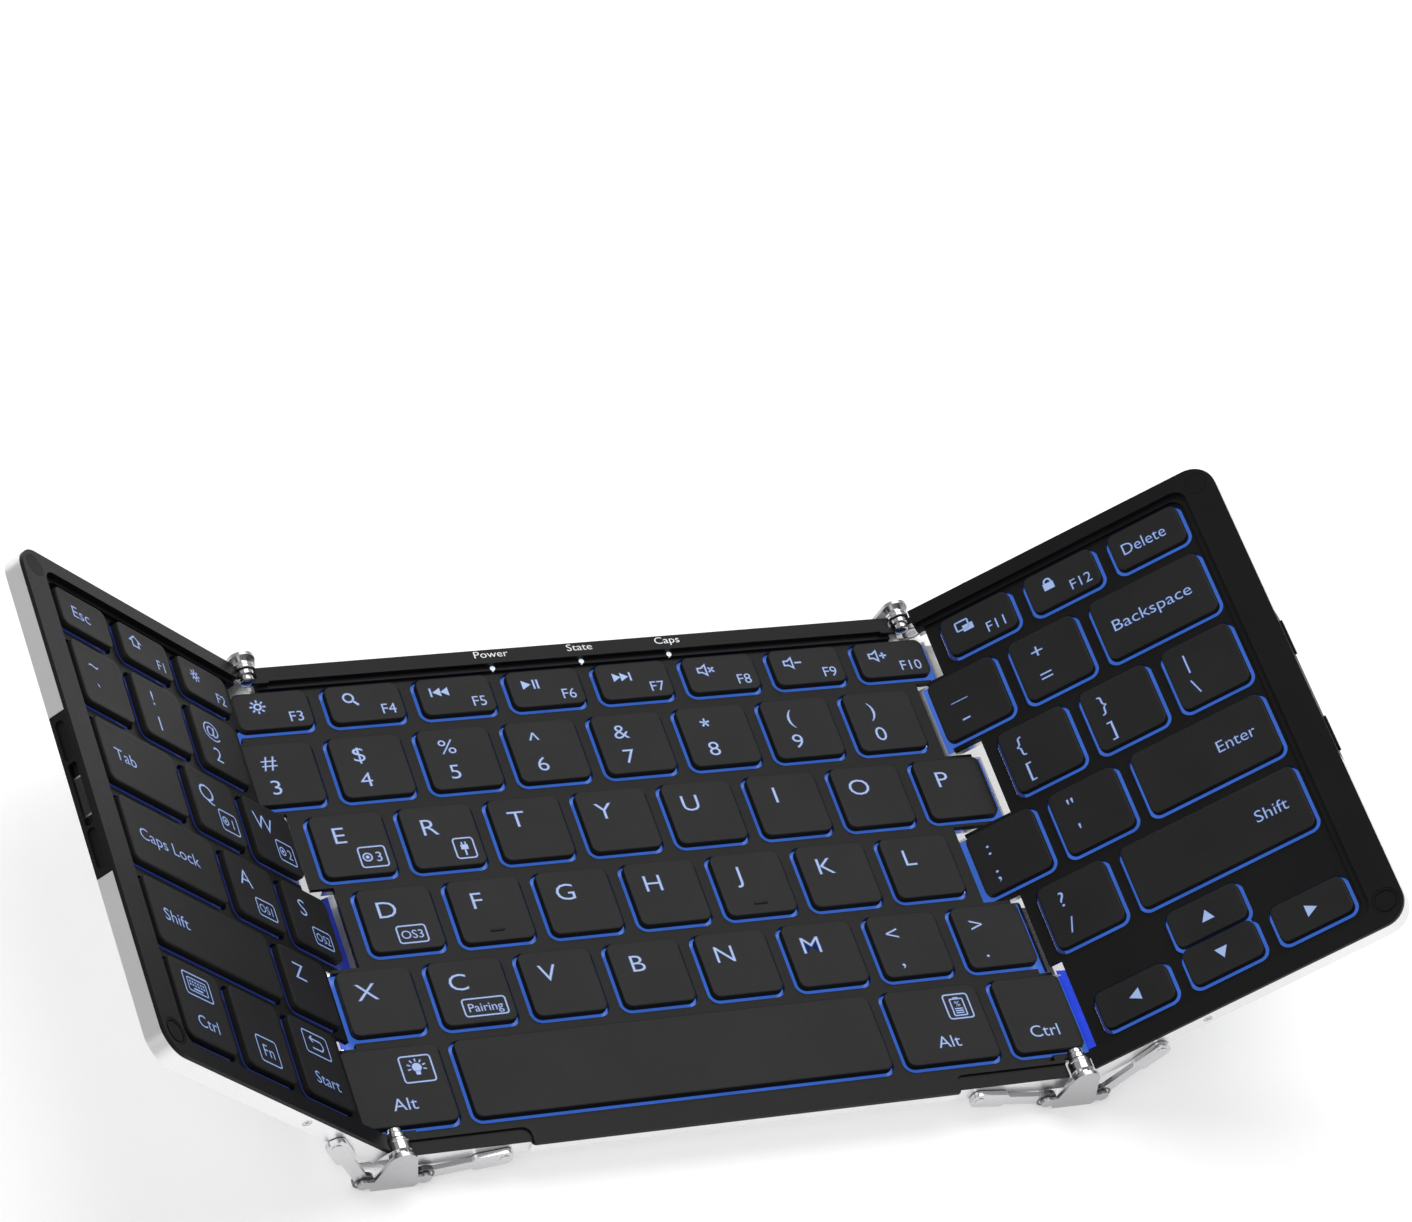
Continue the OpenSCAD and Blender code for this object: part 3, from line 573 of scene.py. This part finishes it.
def lock(i, x, y):
    block(i, x - 0.95, y - 1.2, x + 0.95, y + 0.15)
    i.arc(x, y + 0.35, 0.6, 0.28, 0, 180, 10)
    for side in (-0.6, 0.6):
        i.line([(x + side, y + 0.1), (x + side, y + 0.4)], 0.28)


def keyboard(i, x, y):
    i.frame(x, y, 8.2, 5.0)
    i.frame(x, y, 5.8, 2.9, 0.2, 0.3)
    for row in (0.7, 0.0):
        for k in range(6):
            left = x - 2.35 + 0.85 * k
            i.line([(left, y + row), (left + 0.42, y + row)], HEAVY)
    i.line([(x - 1.4, y - 0.8), (x + 1.4, y - 0.8)], HEAVY)


def back_arrow(i, x, y):
    i.frame(x, y, 8.0, 5.1)
    i.line([(x - 1.6, y - 1.1), (x + 1.1, y - 1.1)])
    i.arc(x + 1.1, y - 0.05, 1.05, BOLD, -90, 90, 12)
    i.line([(x + 1.1, y + 1.0), (x - 1.9, y + 1.0)])
    i.line([(x - 1.0, y + 1.7), (x - 1.9, y + 1.0), (x - 1.0, y + 0.3)])


def bulb(i, x, y):
    i.frame(x, y, 6.4, 5.9)
    i.disc(x, y + 0.35, 0.95)
    i.face([(x - 0.4, y - 1.3), (x + 0.4, y - 1.3), (x + 0.5, y - 0.4), (x - 0.5, y - 0.4)])
    for k in range(7):
        a = math.radians(-15 + 35 * k)
        i.line([polar(x, y + 0.35, 1.35, a), polar(x, y + 0.35, 1.95, a)], FINE)


def charge(i, x, y):
    i.frame(x, y, 5.4, 5.7)
    i.frame(x, y - 0.2, 2.8, 3.9, FINE, 0.2)
    i.line([(x - 0.55, y + 1.95), (x + 0.55, y + 1.95)], HEAVY)
    i.text("%", x, y + 0.6, 1.3)
    for drop in (0.55, 1.05, 1.55):
        i.line([(x - 0.85, y - drop), (x + 0.85, y - drop)], 0.2)


def channel(i, x, y, number):
    """A boxed ring and number, for one of the paired devices."""
    i.frame(x, y, 5.6, 4.8)
    i.arc(x - 1.2, y, 0.9, THIN)
    i.disc(x - 1.2, y, 0.35)
    i.text(number, x + 1.2, y, 2.4)


def plug(i, x, y):
    """A boxed plug, for use on a wire."""
    i.frame(x, y, 4.2, 4.8)
    block(i, x - 0.75, y - 0.3, x + 0.75, y + 0.8)
    for side in (-0.38, 0.38):
        i.line([(x + side, y + 0.8), (x + side, y + 1.45)], THIN)
    i.line([(x, y - 0.3), (x, y - 1.7)])


def boxed(i, x, y, words, w, h=4.0, cap_height=2.0):
    i.frame(x, y, w, h)
    i.text(words, x, y, cap_height)


# Each key's legend is a function of its ink and its lowest and highest corners.
TEXT_MM = {"letter": 4.05, "pair": 3.6, "word": 2.85, "name": 2.55}     # heights of capitals
WIDEN = 1.14             # the letters are wider than the font's
BOTTOM_WIDEN = 0.93      # less so in the bottom row, and not at all in F1 to F12
ICON_ZOOM = 1.22         # the icons of the function row
# distances of the legends' middles, starts or ends from the edges of the cap
LETTER_IN, LETTER_DOWN = 5.3, 5.1
PAIR_IN, UPPER_DOWN, LOWER_UP = 5.6, 4.5, 4.3
ASTERISK_DOWN, ASTERISK_R = 4.2, 1.05
WORD_IN = 3.8
NAME_IN, NAME_UP = 1.8, 2.75
ICON_IN, ICON_DOWN = 5.0, 3.6
BOTTOM_UP, BOXED_UP = 4.9, 5.2


def letter(char, extra=None):
    def draw(i, low, high):
        i.text(char, low.x + LETTER_IN, high.y - LETTER_DOWN, TEXT_MM["letter"], stretch=WIDEN)
        if extra:
            extra(i, low, high)
    return draw


def asterisk(i, x, y):
    for k in range(5):
        a = math.radians(90 + 72 * k)
        i.line([(x, y), polar(x, y, ASTERISK_R, a)], 0.32)


def pair(upper, lower, across=PAIR_IN, stretch=1.0):
    """A shifted sign above a plain one, with their middles across from the left edge."""
    def draw(i, low, high):
        x = low.x + across
        if upper == "*":
            asterisk(i, x, high.y - ASTERISK_DOWN)
        else:
            i.text(upper, x, high.y - UPPER_DOWN, TEXT_MM["pair"], stretch=WIDEN * stretch)
        i.text(lower, x, low.y + LOWER_UP, TEXT_MM["pair"], stretch=WIDEN * stretch)
    return draw


def word(words, align="LEFT", stretch=1.0):
    def draw(i, low, high):
        x = {"LEFT": low.x + WORD_IN, "RIGHT": high.x - WORD_IN}[align]
        i.text(words, x, (low.y + high.y) / 2, TEXT_MM["word"], align, WIDEN * stretch)
    return draw


def function(name, icon, *more):
    def draw(i, low, high):
        i.text(name, high.x - NAME_IN, low.y + NAME_UP, TEXT_MM["name"], "RIGHT")
        x, y = low.x + ICON_IN, high.y - ICON_DOWN
        i.zoom = ((x, y), ICON_ZOOM)
        icon(i, x, y, *more)
        i.zoom = None
    return draw


def bottom(words, icon=None):
    def draw(i, low, high):
        middle = (low.x + high.x) / 2
        i.text(words, middle, low.y + BOTTOM_UP, TEXT_MM["word"], stretch=WIDEN * BOTTOM_WIDEN)
        if icon:
            icon(i, low, high)
    return draw


def at_right(icon, from_right, from_front, *more):
    return lambda i, low, high: icon(i, high.x - from_right, low.y + from_front, *more)


def at_back(icon, from_back, *more):
    return lambda i, low, high: icon(i, (low.x + high.x) / 2, high.y - from_back, *more)


def arrow(way):
    def draw(i, low, high):
        triangle(i, (low.x + high.x) / 2, (low.y + high.y) / 2, 2.7, 2.4, way)
    return draw


def boxed_fn(i, low, high):
    boxed(i, (low.x + high.x) / 2, low.y + BOXED_UP, "Fn", 6.4, 5.8, TEXT_MM["word"])


def nothing(i, low, high):
    """A key without a legend."""


LEGENDS = {
    "left_function_keys": [word("Esc"), function("F1", house), function("F2", sun, 1.2)],
    "centre_function_keys": [
        function("F3", sun), function("F4", magnifier), function("F5", skip, -1),
        function("F6", play_pause), function("F7", skip, 1), function("F8", speaker, "x"),
        function("F9", speaker, "-"), function("F10", speaker, "+")],
    "right_function_keys": [function("F11", two_panes), function("F12", lock),
                            word("Delete", "RIGHT", 0.84)],
    "left_number_keys": [pair("~", "`"), pair("!", "1"), pair("@", "2")],
    "centre_number_keys": [pair("#", "3"), pair("$", "4"), pair("%", "5"), pair("^", "6"),
                           pair("&", "7"), pair("*", "8"), pair("(", "9"), pair(")", "0")],
    "right_number_keys": [pair("_", "-", stretch=1.35), pair("+", "="), word("Backspace", "RIGHT")],
    "left_upper_keys": [word("Tab"), letter("Q", at_right(channel, 4.7, 4.6, "1")),
                        letter("W", at_right(channel, 4.7, 4.6, "2"))],
    "centre_upper_keys": [letter("E", at_right(channel, 4.4, 4.1, "3")),
                          letter("R", at_right(plug, 4.0, 4.1)), letter("T"), letter("Y"),
                          letter("U"), letter("I"), letter("O"), letter("P")],
    "right_upper_keys": [pair("{", "[", 4.0), pair("}", "]", 4.2), pair("|", "\\", 4.4)],
    "left_home_keys": [word("Caps Lock"), letter("A", at_right(boxed, 5.6, 3.9, "OS1", 6.0)),
                       letter("S", at_right(boxed, 5.6, 3.9, "OS2", 6.0))],
    "centre_home_keys": [letter("D", at_right(boxed, 6.4, 3.6, "OS3", 6.0)), letter("F"),
                         letter("G"), letter("H"), letter("J"), letter("K"), letter("L")],
    "right_home_keys": [pair(":", ";", 4.0), pair("\"", "'", 4.4), word("Enter", "RIGHT", 0.9)],
    "left_lower_keys": [word("Shift"), letter("Z")],
    "centre_lower_keys": [letter("X"), letter("C", at_right(boxed, 6.2, 3.7, "Pairing", 9.0)),
                          letter("V"), letter("B"), letter("N"), letter("M"),
                          pair("<", ",", 4.6), pair(">", ".", 4.6)],
    "right_lower_keys": [pair("?", "/", 4.5), word("Shift", "RIGHT", 0.94)],
    "left_bottom_keys": [bottom("Ctrl", at_back(keyboard, 4.8)), boxed_fn,
                         bottom("Start", at_back(back_arrow, 4.8))],
    "centre_bottom_keys": [bottom("Alt", at_right(bulb, 5.5, 12.3)),
                           bottom("Alt", at_right(charge, 5.4, 12.7)), bottom("Ctrl")],
    "space_bar": [nothing],
    "right_arrow_keys": [arrow((-1, 0)), arrow((0, -1)), arrow((0, 1)), arrow((1, 0))],
}

for node, legends in LEGENDS.items():
    keys = solids(node)
    assert len(keys) == len(legends), (node, len(keys), len(legends))
    ink = Ink(keys[0][1].z + INK_LIFT, edge=GLOW_HALO_W, bolden=BOLDEN)
    for draw, (low, high) in zip(legends, keys):
        draw(ink, low, high)
    if ink.faces:
        ink.done(node + "_legends", LEGEND, BODY_OF[node], panel_of(node))


# ---- small mouldings and the turned parts of the hinges --------------------------------

MOULD_SMOOTH_DEG = 40    # edges that turn by more look sharp
TURNED_STEPS = 40        # points round a turned piece
JOIN_MM = 0.001          # points closer than this are one point


def lathe(name, profile, way, centre, finish, body, panel="centre"):
    """A turned piece about an axis along Y, from (distance, radius) pairs.

    The distances are measured to the back where way is 1, and to the front where it is -1.
    The axis passes through centre, an x and a z. The last pair is joined to the first.
    """
    steps, rings = TURNED_STEPS, len(profile)
    verts = []
    for y, r in profile:
        for k in range(steps):
            x, z = polar(*centre, r, 2 * math.pi * k / steps)
            verts.append((x, way * y, z))
    faces = []
    for ring in range(rings):
        a, b = ring * steps, (ring + 1) % rings * steps
        faces.extend((a + k, a + (k + 1) % steps, b + (k + 1) % steps, b + k) for k in range(steps))
    made = piece(name, verts, faces, finish, body, panel, MOULD_SMOOTH_DEG)
    turn_faces_out(made, JOIN_MM)


def axis_of(joint):
    """Where a joint's axis along Y passes, as x and z in millimetres."""
    x, _, z = (c / MM for c in JOINTS[joint]["pos_m"])
    return x, z


# the bars that mark the home keys, by the places of these keys in their row
HOMING_PLACES = [1, 4]
BAR_W, BAR_D, BAR_H = 3.0, 0.55, 0.22
BAR_Y = 2.6              # from the front edge of the cap to the middle of the bar
BAR_SUNK = 0.1           # how far it reaches into the cap
BAR_ROUND_Z, BAR_ROUND = 0.08, 0.1            # height and width of its softened edge
home_keys = solids("centre_home_keys")
verts, faces = [], []
for place in HOMING_PLACES:
    low, high = home_keys[place]
    middle = Vector(((low.x + high.x) / 2, low.y + BAR_Y, high.z))
    bar_low = middle - Vector((BAR_W / 2, BAR_D / 2, BAR_SUNK))
    bar_high = middle + Vector((BAR_W / 2, BAR_D / 2, BAR_H))
    rings = [(bar_low.z, 0.0), (bar_high.z - BAR_ROUND_Z, 0.0), (bar_high.z, BAR_ROUND)]
    stack(verts, faces, bar_low, bar_high, BAR_D / 2, rings)
bars = piece("homing_bars", verts, faces, KEY, BODY_OF["centre_home_keys"], "centre",
             MOULD_SMOOTH_DEG)

PANEL_HALF_D = 58.0
KNUCKLE_L, KNUCKLE_STEP, KNUCKLE_R = 1.1, 1.2, 1.5
KNUCKLE_IN = {"front": 5.1, "back": 3.8}      # from the panel's edge to the inner knuckle
SLEEVE_SKIN = {"centre": 0.07, "wing": 0.4}   # how far a sleeve stands out from its knuckle
SLEEVE_INSET, SLEEVE_ROUND = 0.02, 0.12       # at each end of a sleeve
SLEEVE_BORE = KNUCKLE_R + 0.005
SLEEVE_END = 0.4                              # thickness of a sleeve's end, as a share
# The other profiles: the end of the pin inwards from the first knuckle, the collar outwards
# from the last knuckle and then from the panel's edge, and the eyes from the panel's edge.
PIN_END = [(0.01, 0.0), (0.01, 1.44), (0.08, 1.36), (0.22, 0.7), (0.22, 0.0)]
COLLAR_R, COLLAR_GROOVE_R, COLLAR_EDGE_R, COLLAR_BORE = 2.36, 2.26, 2.2, 1.0
COLLAR_GAP = 0.1
COLLAR_INNER = [(0.0, COLLAR_BORE), (0.0, COLLAR_EDGE_R), (0.15, COLLAR_R), (0.6, COLLAR_R),
                (0.7, COLLAR_GROOVE_R), (0.8, COLLAR_R)]
NECK_R = 1.75
COLLAR_OUTER = [(0.0, COLLAR_R), (0.09, 2.28), (0.09, NECK_R), (1.34, NECK_R), (1.34, COLLAR_BORE)]
EYE_BORE, EYE_END_R, EYE_R = 1.6, 2.05, 2.16
EYE = [(0.12, EYE_BORE), (0.12, EYE_END_R), (0.22, EYE_R), (1.13, EYE_R), (1.23, EYE_END_R),
       (1.23, EYE_BORE)]


def hinge(side, end, way):
    """The bright sleeves, pin end and collar of a hinge, and the dark eyes of its levers."""
    corner = end + "_" + side
    fold = axis_of(side + "_fold")
    inner = PANEL_HALF_D - KNUCKLE_IN[end]
    for slot, (owner, skin) in enumerate(SLEEVE_SKIN.items()):
        y0 = inner + slot * KNUCKLE_STEP + SLEEVE_INSET
        y1 = y0 + KNUCKLE_L - 2 * SLEEVE_INSET
        edge_r, r = KNUCKLE_R + skin * SLEEVE_END, KNUCKLE_R + skin
        sleeve = [(y0, SLEEVE_BORE), (y0, edge_r), (y0 + SLEEVE_ROUND, r),
                  (y1 - SLEEVE_ROUND, r), (y1, edge_r), (y1, SLEEVE_BORE)]
        panel = side if owner == "wing" else "centre"
        body = side + "_wing" if owner == "wing" else "centre"
        lathe(f"{corner}_sleeve_{slot}", sleeve, way, fold, POLISHED, body, panel)
    pin_end = [(inner - y, r) for y, r in PIN_END]
    lathe(corner + "_pin_end", pin_end, way, fold, POLISHED, "centre")
    start = inner + 2 * KNUCKLE_STEP + COLLAR_GAP
    collar = [(start + y, r) for y, r in COLLAR_INNER]
    collar += [(PANEL_HALF_D + y, r) for y, r in COLLAR_OUTER]
    lathe(corner + "_collar", collar, way, fold, POLISHED, corner + "_bracket_body")
    for lever in ("centre", "wing"):
        stem = f"{corner}_{lever}_lever"
        eye = [(PANEL_HALF_D + y, r) for y, r in EYE]
        lathe(stem + "_eye", eye, way, axis_of(stem + "_turn"), DARK_METAL_AND_SHADE, stem + "_body")


for side in ("left", "right"):
    for end, way in (("front", -1), ("back", 1)):
        hinge(side, end, way)


# ---- strips in the gaps at the folds -------------------------------------------------

# Each profile is given by distances from the edge of the keys and by heights. A lip runs
# on down, and under the rim of the wing. Each strip is (row, fold, finish, profile), with
# the fold to the right where it is 1 and to the left where it is -1.
SHELF_TOP = 5.40
LIP = [(1.72, SHELF_TOP), (2.33, SHELF_TOP), (2.37, 4.55), (2.9, 3.92), (4.7, 3.86)]
LOW_LIP = [(2.45, 3.98), (4.7, 3.86)]
SHELF = [(1.25, SHELF_TOP), (2.28, SHELF_TOP)]
POCKET_TOP = 5.375
POCKET = [(-0.6, POCKET_TOP), (0.74, POCKET_TOP)]
# The finishes paint what each gap shows: the glowing strips are painted blue light, the dark metal
# lip is painted shade, the aluminium ones are plain.
STRIPS = [("centre_bottom_keys", 1, PAINTED_BLUE_LIGHT, LIP), ("centre_function_keys", 1, ALUMINIUM, LIP),
          ("centre_lower_keys", 1, DARK_METAL_AND_SHADE, LIP), ("centre_lower_keys", -1, PAINTED_BLUE_LIGHT, SHELF),
          ("right_number_keys", -1, ALUMINIUM, SHELF)]
POCKETS = [("right_function_keys", -1), ("right_upper_keys", -1), ("right_lower_keys", -1),
           ("right_arrow_keys", -1), ("centre_number_keys", 1), ("centre_home_keys", 1),
           ("centre_upper_keys", -1), ("centre_home_keys", -1), ("left_function_keys", 1),
           ("left_number_keys", 1), ("left_lower_keys", 1), ("left_bottom_keys", 1)]
STRIP_MARGIN = 0.9       # beyond the keys of the row, front and back
LOW_MARGIN = 3.1         # how far a low strip or a cover runs on behind the row
STRIP_T = 0.05           # thickness


def strip(name, node, top, under, finish, smooth_deg=None, low_part=False, back=False):
    """A thin strip beside the keys of a row, from the upper and the lower line of its section.

    A low part lies behind the row only, and a strip with back runs on there.
    """
    boxes = solids(node)
    y0 = min(low.y for low, high in boxes) - STRIP_MARGIN
    y1 = max(high.y for low, high in boxes) + STRIP_MARGIN
    if low_part:
        y0 = y1
    if low_part or back:
        y1 += LOW_MARGIN - STRIP_MARGIN
    section = top + under[::-1]
    n = len(section)
    verts = [(x, y, z) for y in (y0, y1) for x, z in section]
    faces = [(k, (k + 1) % n, n + (k + 1) % n, n + k) for k in range(n)]
    for end in (0, n):
        faces.extend((end + k, end + k + 1, end + n - 2 - k, end + n - 1 - k)
                     for k in range(n // 2 - 1))
    panel = panel_of(node)
    body = "centre" if panel == "centre" else panel + "_wing"
    made = piece(name, verts, faces, finish, body, panel, smooth_deg)
    turn_faces_out(made)


def fold_strip(label, node, way, finish, profile, low_part=False):
    """A strip placed by distances from the keys at one fold edge of a row."""
    boxes = solids(node)
    if way > 0:
        side, edge = "right", max(high.x for low, high in boxes)
    else:
        side, edge = "left", min(low.x for low, high in boxes)
    top = [(edge + way * d, z) for d, z in profile]
    under = [(x, z - STRIP_T) for x, z in top]
    strip(f"{node}_{side}_{label}", node, top, under, finish, low_part=low_part)


for node, way, finish, profile in STRIPS:
    fold_strip("fold_strip", node, way, finish, profile)
# a strip of painted blue light behind the bottom row
fold_strip("low_strip", "centre_bottom_keys", 1, PAINTED_BLUE_LIGHT, LOW_LIP, low_part=True)
for node, way in POCKETS:
    # the wings' pocket strips take the dimmer glow, which is painted shade
    finish = GUIDE if panel_of(node) == "centre" else SHADED_GUIDE
    fold_strip("pocket_strip", node, way, finish, POCKET)

# a curved cover under the edge of the centre panel, round the path of the left wing's tooth: each
# part from one angle to another about the fold axis. The parts paint the light in that gap:
# polished steel for the shaded part, aluminium for the lit part, a glowing strip for painted blue
# light.
COVER_R, COVER_T, COVER_STEPS = 8.74, 0.12, 10
COVER_PARTS = [("dark", -32.5, -46.0, POLISHED), ("bright", -46.0, -54.0, ALUMINIUM),
               ("blue", -54.0, -69.0, PAINTED_DIM_BLUE_LIGHT)]
for name, start, end, finish in COVER_PARTS:
    top, under = [[polar(*axis_of("left_fold"), radius,
                         math.radians(start + (end - start) * k / COVER_STEPS))
                   for k in range(COVER_STEPS + 1)]
                  for radius in (COVER_R, COVER_R + COVER_T)]
    strip(f"centre_home_keys_{name}_cover", "centre_home_keys", top, under, finish,
          MOULD_SMOOTH_DEG, back=True)


# ---- marks on the frame ------------------------------------------------------------

MARK_MM, MARK_WIDEN = 1.75, 1.2
MARK_BEHIND = 2.3        # from a lamp to the middle of its name
rail_top = max(high.z for low, high in solids("left_corner_pads"))
marks = Ink(rail_top + INK_LIFT)
for words, (low, high) in zip(("Power", "State", "Caps"), solids("status_lamps")):
    marks.text(words, (low.x + high.x) / 2, high.y + MARK_BEHIND, MARK_MM, stretch=MARK_WIDEN)
marks.done("lamp_names", PRINT, "centre", "centre")


# ---- stage ---------------------------------------------------------------------------

PAPER = (0.80, 0.80, 0.80, 1)
PAPER_LIFT = 0.36        # added where the camera or a reflection sees the paper
FLOOR_HALF = 3.0
WORLD = 0.42
# place, size and watts of each light; both face the origin
LIGHTS = {"key": ((0.25, 0.55, 1.1), (1.1, 0.8), 9.0),
          "fill": ((-0.9, -0.5, 0.9), (0.9, 0.9), 4.0)}
CAMERA_AT = (-0.43530, -0.55276, 0.84936)
CAMERA_TURN_DEG = (39.8682, -16.4051, -18.4265)
SENSOR_MM, LENS_MM = 36.0, 139.62


def floor_material():
    """White paper that stays white in the picture and keeps the shadow."""
    made, tree, shader, _ = material("paper")
    shader.inputs["Base Color"].default_value = PAPER
    shader.inputs["Roughness"].default_value = 0.9
    shader.inputs["Specular IOR Level"].default_value = 0.0
    path = tree.nodes.new("ShaderNodeLightPath")
    seen = tree.nodes.new("ShaderNodeMath")
    seen.operation = "MAXIMUM"
    tree.links.new(path.outputs["Is Camera Ray"], seen.inputs[0])
    tree.links.new(path.outputs["Is Glossy Ray"], seen.inputs[1])
    lift = tree.nodes.new("ShaderNodeMath")
    lift.operation = "MULTIPLY"
    lift.inputs[1].default_value = PAPER_LIFT
    tree.links.new(seen.outputs[0], lift.inputs[0])
    shader.inputs["Emission Color"].default_value = (1, 1, 1, 1)
    tree.links.new(lift.outputs[0], shader.inputs["Emission Strength"])
    return made


def floor():
    mesh = bpy.data.meshes.new("floor")
    half = FLOOR_HALF
    corners = [(-half, -half, 0), (half, -half, 0), (half, half, 0), (-half, half, 0)]
    mesh.from_pydata(corners, [], [(0, 1, 2, 3)])
    mesh.materials.append(floor_material())
    made = bpy.data.objects.new("floor", mesh)
    bpy.context.scene.collection.objects.link(made)


def area_light(name, place, size, watts):
    light = bpy.data.lights.new(name, "AREA")
    light.shape = "RECTANGLE"
    light.size, light.size_y = size
    light.energy = watts
    made = bpy.data.objects.new(name, light)
    made.location = place
    made.rotation_euler = (-Vector(place)).to_track_quat("-Z", "Y").to_euler()
    bpy.context.scene.collection.objects.link(made)


def world(strength):
    made = bpy.data.worlds.new("studio")
    made.use_nodes = True
    background = made.node_tree.nodes["Background"]
    background.inputs["Color"].default_value = (1, 1, 1, 1)
    background.inputs["Strength"].default_value = strength
    bpy.context.scene.world = made


def camera():
    """Stands where the photograph was taken from."""
    made = bpy.data.objects.new("camera", bpy.data.cameras.new("camera"))
    made.location = CAMERA_AT
    made.rotation_euler = [math.radians(a) for a in CAMERA_TURN_DEG]
    made.data.sensor_width = SENSOR_MM
    made.data.lens = LENS_MM
    made.data.clip_start = 0.05
    bpy.context.scene.collection.objects.link(made)
    bpy.context.scene.camera = made


floor()
world(WORLD)
for name, (place, size, watts) in LIGHTS.items():
    area_light(name, place, size, watts)
camera()
bpy.context.scene.view_settings.view_transform = "Standard"
